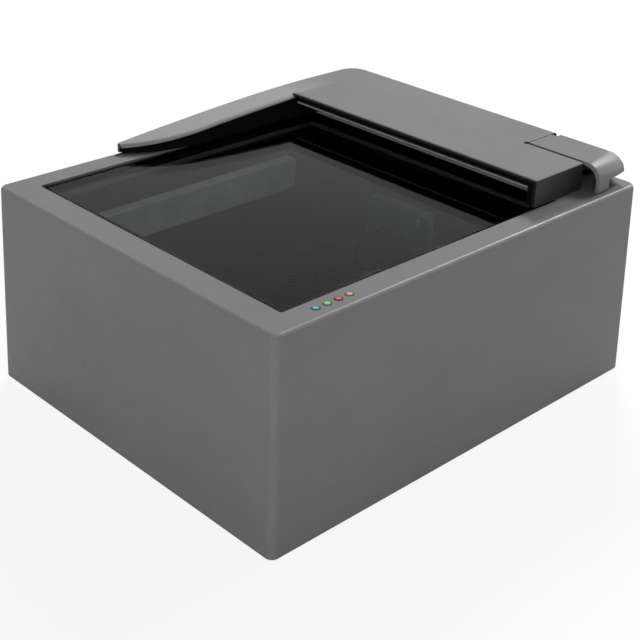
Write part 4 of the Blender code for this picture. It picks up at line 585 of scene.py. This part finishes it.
def light_guide(name, bright, deep, centre, radius):
    """Tinted guide: bright near its axis, deep at the rim, with dark seeds in the cast plastic."""
    finish = Finish("guide_" + name, bright, 0.6, specular=0.15)
    way = finish.ramp(from_axis(finish, "XY", centre), 0.45 * radius, 0.98 * radius, 0.0, 1.0)
    tint = finish.blend(way, bright, deep)
    seeds = finish.ramp(finish.cells(0.0009), 0.10, 0.28, 0.75, 0.0)
    tint = finish.blend(seeds, tint, deep)
    finish.colour(tint)
    finish.link(tint, finish.shader.inputs["Emission Color"])
    finish.shader.inputs["Emission Strength"].default_value = 0.12
    finish.rough(finish.ramp(finish.noise(0.0006, 2.0), 0.3, 0.7, 0.52, 0.68))
    return finish.made


print("light colours:", ", ".join(LIGHT_COLOURS))

# %% [markdown]
# ## Skins over the solids
#
# A packed solid is a bag of loose triangles with flat shading, exact but faceted. A skin is a copy
# of it that is merged back into one surface, with its flat areas joined, its sharp edges softened
# by a bevel of two tenths of a millimetre, less on thin sheet, and its round faces shaded smooth.
# Real mouldings have no sharper edge than that, and the soft edge is what catches the light.
# Normals are weighted by face area, so that the large flats stay flat right up to where a rounded
# edge begins.

# %% Skin helper
POINT_STEPS = 2e6
SAME_PLANE = math.radians(0.05)


def merged_mesh(node):
    """One connected mesh from a solid's loose triangles: equal points become one, by sorting."""
    source = nodes[node].data
    points = np.empty(len(source.vertices) * 3, np.float32)
    source.vertices.foreach_get("co", points)
    points = points.reshape(-1, 3)
    corners = np.empty(len(source.loops), np.int32)
    source.loops.foreach_get("vertex_index", corners)
    keys = np.round(points * POINT_STEPS).astype(np.int64)
    found, back = np.unique(keys, axis=0, return_inverse=True)
    faces = back.reshape(-1)[corners].reshape(-1, 3)
    distinct = (faces != np.roll(faces, 1, axis=1)).all(axis=1)
    mesh = bpy.data.meshes.new(node + "_skin")
    mesh.from_pydata((found / POINT_STEPS).tolist(), [], faces[distinct].tolist())
    return mesh


def skin(node, body, look, soften):
    """Smooth stand-in for a solid, with its sharp edges bevelled."""
    mesh = merged_mesh(node)
    work = bmesh.new()
    work.from_mesh(mesh)
    bmesh.ops.dissolve_limit(work, angle_limit=SAME_PLANE, verts=work.verts, edges=work.edges)
    work.to_mesh(mesh)
    work.free()
    mesh.shade_smooth()
    mesh.set_sharp_from_angle(angle=math.radians(32.0))
    made = bpy.data.objects.new(node + "_skin", mesh)
    bpy.context.scene.collection.objects.link(made)
    mesh.materials.append(look)
    bevel = made.modifiers.new("edges", "BEVEL")
    bevel.width = soften
    bevel.segments = 2
    bevel.limit_method = "ANGLE"
    bevel.angle_limit = math.radians(35.0)
    even = made.modifiers.new("flat faces stay flat", "WEIGHTED_NORMAL")
    even.keep_sharp = True
    even.weight = 100
    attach(made, body)
    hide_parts(node)
    return made


print(f"points within {1e6 / POINT_STEPS} micrometres become one")

# %% Skins for the moulded and cut pieces
record = frame["record"]
bodies = record["behaviour"]["bodies"]
BODY_OF = {name: body for body, names in bodies.items() for name in names}
SLOT_OF = {part["node"]: part["material_slot"] for part in record["subparts"]}
TURNED = [name for name in nodes if "_screw_" in name or name.startswith(("foot_", "status_lens_"))]
TURNED += ["lens_barrel", "lens_glass", "beeper", "flap_pin"]
THIN = {"flat_cable", "card_socket_cover", "rfid_antenna", "page_guide"}
THIN |= {"camera_board", "led_board"}
FINE_EDGE, EDGE = 0.00008, 0.0002
faces = 0
for name in sorted(set(nodes) - set(TURNED)):
    slot = SLOT_OF[name]
    soften = FINE_EDGE if name in THIN else EDGE
    made = skin(name, BODY_OF[name], OWN_FINISH.get(name, FINISHES[slot]), soften)
    faces += len(made.data.polygons)
print(len(nodes) - len(TURNED), "skins,", faces, "faces before their edges are softened")

# %% [markdown]
# ## Turned pieces
#
# Screws, feet, light guides, the lens and its barrel, the beeper and the flap's pin are all turned
# about an axis. On the real ones the shape that matters is finer than a solid made for collision
# can carry: the cross in a screw's head, its thread, the grooves moulded into a foot, the polished
# curve of a lens. Each is one grid: steps along a profile by steps of turn. On the screws, the
# feet and the barrel a height rule then pushes every point in or out.

# %% Turned surfaces
def quads_between(first, j, k, sides):
    """Four-sided faces between each ring and the next, `first` being each ring's first point."""
    corners = (first + j, first + k, first + sides + k, first + sides + j)
    return np.stack(corners, axis=-1).reshape(-1, 4)


def turned_surface(profile, sides, dent=None):
    """Closed surface of a profile of (radius, height) turned about Z, from pole to pole.

    Point (i, j) is the profile's i-th point turned by the j-th share of a full turn. The first and
    last points are the poles, one vertex each. `dent` takes x, y, z and the turn of all the ring
    points and gives them back moved."""
    profile = np.array(profile, float)
    turn = np.arange(sides) * (2 * math.pi / sides)
    ring_r, ring_z = profile[1:-1, 0], profile[1:-1, 1]
    x = ring_r[:, None] * np.cos(turn)
    y = ring_r[:, None] * np.sin(turn)
    z = np.repeat(ring_z[:, None], sides, axis=1)
    pole_z = [profile[0, 1], profile[-1, 1]]
    if dent is not None:
        x, y, z = dent(x, y, z, np.broadcast_to(turn, x.shape))
        pole_z = [dent(*np.array([[[0.0]], [[0.0]], [[h]], [[0.0]]]))[2][0, 0] for h in pole_z]
    rings = np.stack((x, y, z), axis=-1).reshape(-1, 3)
    points = np.vstack(([[0.0, 0.0, pole_z[0]]], rings, [[0.0, 0.0, pole_z[1]]]))
    j = np.arange(sides)
    k = (j + 1) % sides
    count = len(ring_r)
    first = 1 + np.arange(count - 1)[:, None] * sides
    quads = quads_between(first, j, k, sides)
    last = len(points) - 1
    base = last - sides
    start = np.column_stack((np.zeros(sides, int), 1 + k, 1 + j))
    stop = np.column_stack((np.full(sides, last), base + j, base + k))
    return points, start.tolist() + quads.tolist() + stop.tolist()


points, quads = turned_surface([(0.0, 0.0), (1.0, 0.0), (1.0, 1.0), (0.0, 1.0)], 12)
print("a plain drum of 12 sides has", len(points), "points and", len(quads), "faces")

# %% Profiles
def smooth_path(corners, step):
    """Profile through the corners with points about `step` apart, corners kept."""
    corners = np.array(corners, float)
    parts = []
    for a, b in zip(corners[:-1], corners[1:]):
        count = max(1, int(math.ceil(np.linalg.norm(b - a) / step)))
        parts.append(a + (b - a) * (np.arange(count) / count)[:, None])
    return np.vstack((*parts, corners[-1:]))


def rounded(corners, radius, steps=4):
    """Profile whose corners are cut back by a radius, with a parabola across each corner."""
    corners = np.array(corners, float)
    path = [corners[0]]
    for a, b, c in zip(corners[:-2], corners[1:-1], corners[2:]):
        reach_a = min(radius, np.linalg.norm(a - b) / 2)
        reach_c = min(radius, np.linalg.norm(c - b) / 2)
        p = b + (a - b) / np.linalg.norm(a - b) * reach_a
        q = b + (c - b) / np.linalg.norm(c - b) * reach_c
        t = np.linspace(0.0, 1.0, steps + 1)[:, None]
        path += list((1 - t) ** 2 * p + 2 * t * (1 - t) * b + t**2 * q)
    return np.array([*path, corners[-1]])


print("a rounded corner has", len(rounded([(0, 0), (1, 0), (1, 1)], 0.1)), "points")

# %% From a surface to a piece
def place_piece(name, points, faces, body, look, stands_for=None):
    mesh = bpy.data.meshes.new(name)
    mesh.from_pydata(points.tolist(), [], faces)
    mesh.shade_smooth()
    mesh.set_sharp_from_angle(angle=math.radians(50.0))
    mesh.materials.append(look)
    work = bmesh.new()
    work.from_mesh(mesh)
    bmesh.ops.recalc_face_normals(work, faces=work.faces)
    work.to_mesh(mesh)
    work.free()
    made = bpy.data.objects.new(name, mesh)
    bpy.context.scene.collection.objects.link(made)
    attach(made, body)
    if stands_for is not None:
        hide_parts(stands_for)


def along(points, axis, way, centre):
    """Turn a piece made about +Z to run along an axis, one way or the other, and move it."""
    order = {"X": (2, 0, 1), "Y": (1, 2, 0), "Z": (0, 1, 2)}[axis]
    turned = points * np.array([1.0, way, way])
    return turned[:, order] + np.array(centre)


# %% Screws with a cross in the head and a thread
def solid_points(node):
    """All corner points of a solid, as an array."""
    mesh = nodes[node].data
    points = np.empty(len(mesh.vertices) * 3, np.float32)
    mesh.vertices.foreach_get("co", points)
    return points.reshape(-1, 3).astype(float)


def screw_sizes(node):
    """Axis, middle, head and shank of a screw, measured on its solid."""
    points = solid_points(node)
    low, high = points.min(axis=0), points.max(axis=0)
    axis = int(np.argmax(high - low))
    across = [i for i in range(3) if i != axis]
    middle = (low + high) / 2
    out = np.hypot(*(points[:, across] - middle[across]).T)
    level = points[:, axis]
    head_radius = out.max()
    narrow_top = out[level > high[axis] - 1e-5].max() < 0.75 * head_radius
    shank_end = high[axis] if narrow_top else low[axis]
    far = np.abs(level - shank_end)
    shank_radius = out[far < 1e-5].max()
    length = high[axis] - low[axis]
    head = length - far[out > 0.99 * head_radius].min()
    return "XYZ"[axis], middle, head_radius, head, shank_radius, length, shank_end > middle[axis]


def cross_and_thread(head_radius, head, shank_radius, length):
    """Height rule for a screw that points up: a cross sunk in the head, a thread above it.

    The cross sinks from each arm's side to its full depth by a soft step. The thread is a wave
    along the shank that climbs one pitch a turn, and fades at both ends."""
    arm, reach = 0.17 * head_radius, 0.68 * head_radius
    depth, pitch = 0.6 * head, 0.55 * shank_radius

    def dent(x, y, z, turn):
        near, far = np.minimum(abs(x), abs(y)), np.maximum(abs(x), abs(y))
        sunk = np.clip((arm - near) / (0.4 * arm), 0, 1)
        sunk = sunk * np.clip((reach - far) / (0.25 * reach), 0, 1)
        on_head = z < 0.5 * head
        z = z + np.where(on_head, depth * sunk, 0.0)
        fade = np.clip((z - head) / pitch, 0, 1) * np.clip((length - z) / pitch, 0, 1)
        wave = 0.5 + 0.5 * np.cos(2 * math.pi * z / pitch - turn)
        share = 1.0 - np.where(on_head, 0.0, 0.16 * fade * wave)
        return x * share, y * share, z

    return dent


screws = [name for name in TURNED if "_screw_" in name]
for name in screws:
    axis, middle, head_radius, head, shank_radius, length, up = screw_sizes(name)
    flat = (0.82 * head_radius, 0.0)
    top = smooth_path([(0.0, 0.0), flat], 0.05 * head_radius)
    side = [(head_radius, 0.25 * head), (head_radius, head), (shank_radius, head)]
    rim = rounded([flat, *side], 0.2 * head)
    shank = smooth_path([(shank_radius, head), (shank_radius, length)], 0.07 * shank_radius)
    tip = [(0.0, length)]
    profile = np.vstack((top, rim[1:], shank[1:], tip))
    dent = cross_and_thread(head_radius, head, shank_radius, length)
    points, quads = turned_surface(profile, 48, dent)
    start = middle.copy()
    start["XYZ".index(axis)] += -length / 2 if up else length / 2
    points = along(points, axis, 1 if up else -1, start)
    slot = SLOT_OF[name]
    place_piece(name + "_turned", points, quads, BODY_OF[name], FINISHES[slot], name)
print(len(screws), "screws,", len(quads), "faces each")

# %% Turned stand-ins, and the feet
def turned_piece(node, profile, sides, dent=None, look=None, axis="Z"):
    """Turned stand-in for a solid, whose heights are measured from the solid's low end."""
    low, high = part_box(node)
    centre = (low + high) / 2
    index = "XYZ".index(axis)
    centre[index] = low[index]
    points, quads = turned_surface(profile, sides, dent)
    slot = SLOT_OF[node]
    points = along(points, axis, 1, centre)
    look = look or FINISHES[slot]
    place_piece(node + "_turned", points, quads, BODY_OF[node], look, node)


GROOVES, GROOVE_WIDTH, GROOVE_DEPTH = (0.0018, 0.0034, 0.0050), 0.00028, 0.00025


def foot_grooves(x, y, z, turn):
    """Three ring grooves in the underside, each a soft notch a quarter millimetre deep."""
    out = np.hypot(x, y)
    notch = sum(np.exp(-(((out - r) / GROOVE_WIDTH) ** 2)) for r in GROOVES)
    return x, y, z + np.where(z < 0.0004, GROOVE_DEPTH * notch, 0.0)


for name in [n for n in TURNED if n.startswith("foot_")]:
    low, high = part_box(name)
    radius, height = (high.x - low.x) / 2, high.z - low.z
    outline = rounded([(0.0, 0.0), (radius, 0.0), (radius, height), (0.0, height)], 0.0006, 6)
    under = smooth_path([(0.0, 0.0), tuple(outline[1])], 0.00012)
    turned_piece(name, np.vstack((under, outline[2:])), 72, foot_grooves)
print(f"feet {2000 * radius:.1f} mm across and {1000 * height:.1f} mm high")

# %% Light guides
DECK_HEIGHT = 0.098
GUIDE_RADIUS, GUIDE_LEDGE = 0.0016, 0.0008
for name, (bright, deep) in LIGHT_COLOURS.items():
    node = "status_lens_" + name
    low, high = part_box(node)
    flange, height = (high.x - low.x) / 2, high.z - low.z
    deck = DECK_HEIGHT - low.z
    t = np.linspace(0.0, math.pi / 2, 14)[:-1]
    dome = np.column_stack((GUIDE_RADIUS * np.cos(t), deck + (height - deck) * np.sin(t)))
    stem = [(0.0, 0.0), (flange, 0.0), (flange, GUIDE_LEDGE)]
    stem += [(GUIDE_RADIUS, GUIDE_LEDGE), (GUIDE_RADIUS, deck)]
    stem = rounded(stem, 0.00012, 3)
    middle = ((low.x + high.x) / 2, (low.y + high.y) / 2)
    look = light_guide(name, bright, deep, middle, GUIDE_RADIUS)
    turned_piece(node, np.vstack((stem[:-1], dome, [(0.0, height)])), 64, look=look)
print(f"light guides stand {1000 * (height - deck):.2f} mm out of the deck")

# %% Lens, barrel, beeper and pin
low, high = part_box("lens_glass")
radius, depth, bulge = (high.y - low.y) / 2, high.x - low.x, 0.0009
t = np.linspace(0.0, math.pi / 2, 20)
crown = np.column_stack((radius * np.sin(t), bulge * (1 - np.cos(t))))
back = rounded([(radius, bulge), (radius, depth), (0.0, depth)], 0.0002, 3)
turned_piece("lens_glass", np.vstack((crown, back[1:])), 96, axis="X")

BARREL_BORE, BARREL_WIDE, BARREL_NECK, BARREL_FOOT = 0.0068, 0.0095, 0.0070, 0.0090
BORE_END, NECK_START, NECK_END = 0.0051, 0.006, 0.015


def barrel_ribs(x, y, z, turn):
    """Grip ribs round the wide front of the barrel: a wave of sixty crests a turn."""
    out = np.hypot(x, y)
    grip = (out > BARREL_WIDE - 0.0002) & (z > 0.0012) & (z < 0.0050)
    share = 1.0 - np.where(grip, 0.012 * (0.5 + 0.5 * np.cos(60 * turn)), 0.0)
    return x * share, y * share, z


low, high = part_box("lens_barrel")
length = high.x - low.x
steps = [(0.0, BORE_END), (BARREL_BORE, BORE_END), (BARREL_BORE, 0.0), (BARREL_WIDE, 0.0)]
steps += [(BARREL_WIDE, NECK_START), (BARREL_NECK, NECK_START), (BARREL_NECK, NECK_END)]
steps += [(BARREL_FOOT, NECK_END), (BARREL_FOOT, length), (0.0, length)]
outline = smooth_path(rounded(steps, 0.0003, 3), 0.0006)
turned_piece("lens_barrel", outline, 240, barrel_ribs, axis="X")

low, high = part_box("beeper")
radius, height = (high.x - low.x) / 2, high.z - low.z
sound_hole, floor_of_hole = 0.0012, height - 0.002
steps = [(0.0, 0.0), (radius, 0.0), (radius, height), (sound_hole, height)]
steps += [(sound_hole, floor_of_hole), (0.0, floor_of_hole)]
turned_piece("beeper", rounded(steps, 0.0003, 4), 72)

low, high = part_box("flap_pin")
radius, length = (high.z - low.z) / 2, high.x - low.x
steps = [(0.0, 0.0), (radius, 0.0), (radius, length), (0.0, length)]
turned_piece("flap_pin", rounded(steps, 0.0002, 4), 40, axis="X")
print("turned pieces:", len(TURNED))

# %% [markdown]
# ## Contacts in the sockets
#
# A look into the two sockets at the back meets bare metal: four sprung strips on the tongue of the
# data socket and a round pin in the power socket. They are too small for collision, so they are
# only in the picture. Each strip is the same turned grid as above, with its round section pressed
# out to a rounded rectangle, which keeps the ends closed without any extra faces.

# %% Contacts
def pressed_square(half_width, half_depth, power=8.0):
    """Height rule that presses a unit circle out to a rounded rectangle of two half sizes.

    A point at turn t goes out by (|cos t|^p + |sin t|^p)^(-1/p), then each axis is scaled."""
    def dent(x, y, z, turn):
        out = (abs(np.cos(turn)) ** power + abs(np.sin(turn)) ** power) ** (-1.0 / power)
        return x * out * half_width, y * out * half_depth, z

    return dent


CONTACT = metal("contact_brass", (0.80, 0.62, 0.34), 0.30, (1.0, 6.0, 1.0))
low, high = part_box("usb_socket")
middle_x, middle_z = (low.x + high.x) / 2, (low.z + high.z) / 2
tongue_half, strip_half, strip_length = 0.0016, 0.00045, 0.0062
from_middle, behind_mouth = 0.00125, 0.0026
strip_corners = [(0.0, 0.0), (1.0, 0.0), (1.0, strip_length), (0.0, strip_length)]
strip_profile = rounded(strip_corners, 0.0001, 2)
strip_section = pressed_square(strip_half, 0.00012)
start_y = high.y - behind_mouth - strip_length
for side in (-1, 1):
    for way in (-1, 1):
        name = f"usb_contact_{'upper' if way > 0 else 'lower'}_{'right' if side > 0 else 'left'}"
        points, quads = turned_surface(strip_profile, 32, strip_section)
        start = (middle_x + side * from_middle, start_y, middle_z + way * tongue_half)
        turned = points[:, [0, 2, 1]] + np.array(start)
        place_piece(name, turned, quads, "housing", CONTACT)

low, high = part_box("power_jack")
pin_radius, pin_length, behind_mouth = 0.00106, 0.0076, 0.0019
pin_corners = [(0.0, 0.0), (pin_radius, 0.0), (pin_radius, pin_length), (0.0, pin_length)]
pin_profile = rounded(pin_corners, 0.0006, 6)
points, quads = turned_surface(pin_profile, 40)
start = ((low.x + high.x) / 2, high.y - behind_mouth - pin_length, (low.z + high.z) / 2)
turned = points[:, [0, 2, 1]] + np.array(start)
place_piece("power_pin", turned, quads, "housing", CONTACT)
print("four strips and a pin,", len(quads), "faces for the pin")

# %% [markdown]
# ## Floor, light and world
#
# A studio picture of a grey box needs very little. The key lamp stands high at the back right and
# lights the deck and the hood, while the two upright faces lie in shade. A smaller lamp further to
# the front draws the light line along the front edge, a low one at the front left fills the left
# face, and an even white surround does the rest. No lamp is seen through the glass, where it would
# stand as a white patch in the folding mirror, and the key and the fill aren't seen in gloss. The
# floor is pale, and for the camera it is lifted towards white, so that the shadow stays but the
# ground fades.

# %% Floor
def pale_floor():
    """White floor that the camera sees lifted towards paper white, shadow and all."""
    finish = Finish("studio_floor", (0.86, 0.86, 0.86), 0.8)
    worn = finish.ramp(finish.noise(0.3, 3.0), 0.3, 0.7, 0.0, 1.0)
    finish.colour(finish.blend(worn, (0.85, 0.85, 0.85), (0.87, 0.87, 0.87)))
    paper = finish.tree.nodes.new("ShaderNodeEmission")
    paper.inputs["Strength"].default_value = 1.0
    seen = finish.tree.nodes.new("ShaderNodeLightPath")
    any_view = finish.sums("MAXIMUM", seen.outputs["Is Camera Ray"], seen.outputs["Is Glossy Ray"])
    any_view = finish.sums("MAXIMUM", any_view, seen.outputs["Is Transmission Ray"])
    share = finish.sums("MULTIPLY", any_view, 0.9)
    mix = finish.tree.nodes.new("ShaderNodeMixShader")
    finish.link(share, mix.inputs["Fac"])
    finish.link(finish.shader.outputs["BSDF"], mix.inputs[1])
    finish.link(paper.outputs["Emission"], mix.inputs[2])
    finish.link(mix.outputs["Shader"], finish.tree.nodes["Material Output"].inputs["Surface"])
    return finish.made


def disc(name, radius, height, rings=8, sides=64):
    """Flat disc at a height: rings of points at equal steps of radius round a middle point."""
    turn = np.linspace(0.0, 2 * math.pi, sides, endpoint=False)
    reach = np.linspace(0.0, radius, rings + 1)[1:]
    ring = np.stack((np.cos(turn), np.sin(turn), np.zeros(sides)), axis=1)
    points = np.vstack((np.zeros((1, 3)), (reach[:, None, None] * ring).reshape(-1, 3)))
    points[:, 2] = height
    j = np.arange(sides)
    k = (j + 1) % sides
    fan = np.column_stack((np.zeros(sides, int), 1 + j, 1 + k))
    first = 1 + np.arange(rings - 1)[:, None] * sides
    quads = quads_between(first, j, k, sides)[:, ::-1]
    mesh = bpy.data.meshes.new(name)
    mesh.from_pydata(points.tolist(), [], fan.tolist() + quads.tolist())
    made = bpy.data.objects.new(name, mesh)
    bpy.context.scene.collection.objects.link(made)
    return made


floor = disc("floor", 9.0, -0.0001)
floor.data.materials.append(pale_floor())
print("floor", len(floor.data.polygons), "faces")

# %% Lamps and world
def soft_lamp(name, place, aim, size, power):
    """Rectangular area lamp that looks at a point: its first side level, its second upright."""
    lamp = bpy.data.lights.new(name, "AREA")
    lamp.shape = "RECTANGLE"
    lamp.size, lamp.size_y = size
    lamp.energy = power
    made = bpy.data.objects.new(name, lamp)
    bpy.context.scene.collection.objects.link(made)
    away = np.array(place, float) - np.array(aim, float)
    away /= np.linalg.norm(away)
    right = np.cross((0.0, 0.0, 1.0), away)
    right /= np.linalg.norm(right)
    axes = np.eye(4)
    axes[:3, :3] = np.column_stack((right, np.cross(away, right), away))
    axes[:3, 3] = place
    made.matrix_world = Matrix(axes.tolist())
    made.visible_transmission = False
    return made


def plain_world(strength):
    """Even white surround, paper white for the camera and for what gloss and glass show it."""
    world = bpy.data.worlds.new("surround")
    world.use_nodes = True
    tree = world.node_tree
    ground = tree.nodes["Background"]
    ground.inputs["Color"].default_value = (1.0, 1.0, 1.0, 1.0)
    ground.inputs["Strength"].default_value = strength
    paper = tree.nodes.new("ShaderNodeBackground")
    paper.inputs["Color"].default_value = (1.0, 1.0, 1.0, 1.0)
    paper.inputs["Strength"].default_value = 1.0
    seen = tree.nodes.new("ShaderNodeLightPath")
    any_view = seen.outputs["Is Camera Ray"]
    for other in ("Is Glossy Ray", "Is Transmission Ray"):
        larger = tree.nodes.new("ShaderNodeMath")
        larger.operation = "MAXIMUM"
        tree.links.new(any_view, larger.inputs[0])
        tree.links.new(seen.outputs[other], larger.inputs[1])
        any_view = larger.outputs["Value"]
    mix = tree.nodes.new("ShaderNodeMixShader")
    tree.links.new(any_view, mix.inputs["Fac"])
    tree.links.new(ground.outputs["Background"], mix.inputs[1])
    tree.links.new(paper.outputs["Background"], mix.inputs[2])
    tree.links.new(mix.outputs["Shader"], tree.nodes["World Output"].inputs["Surface"])
    bpy.context.scene.world = world


key = soft_lamp("key_back_right", (1.79, 1.50, 1.90), (0.0, 0.0, 0.05), (0.6, 0.6), 79.0)
key.visible_glossy = False
soft_lamp("edge_right", (1.50, 0.04, 1.40), (0.0, -0.09, 0.10), (0.5, 0.5), 18.0)
fill = soft_lamp("fill_front_left", (-2.4, -1.6, 0.42), (0.0, 0.0, 0.05), (2.0, 0.7), 31.5)
fill.visible_glossy = False
plain_world(0.118)
scene = bpy.context.scene
scene.view_settings.view_transform = "Standard"
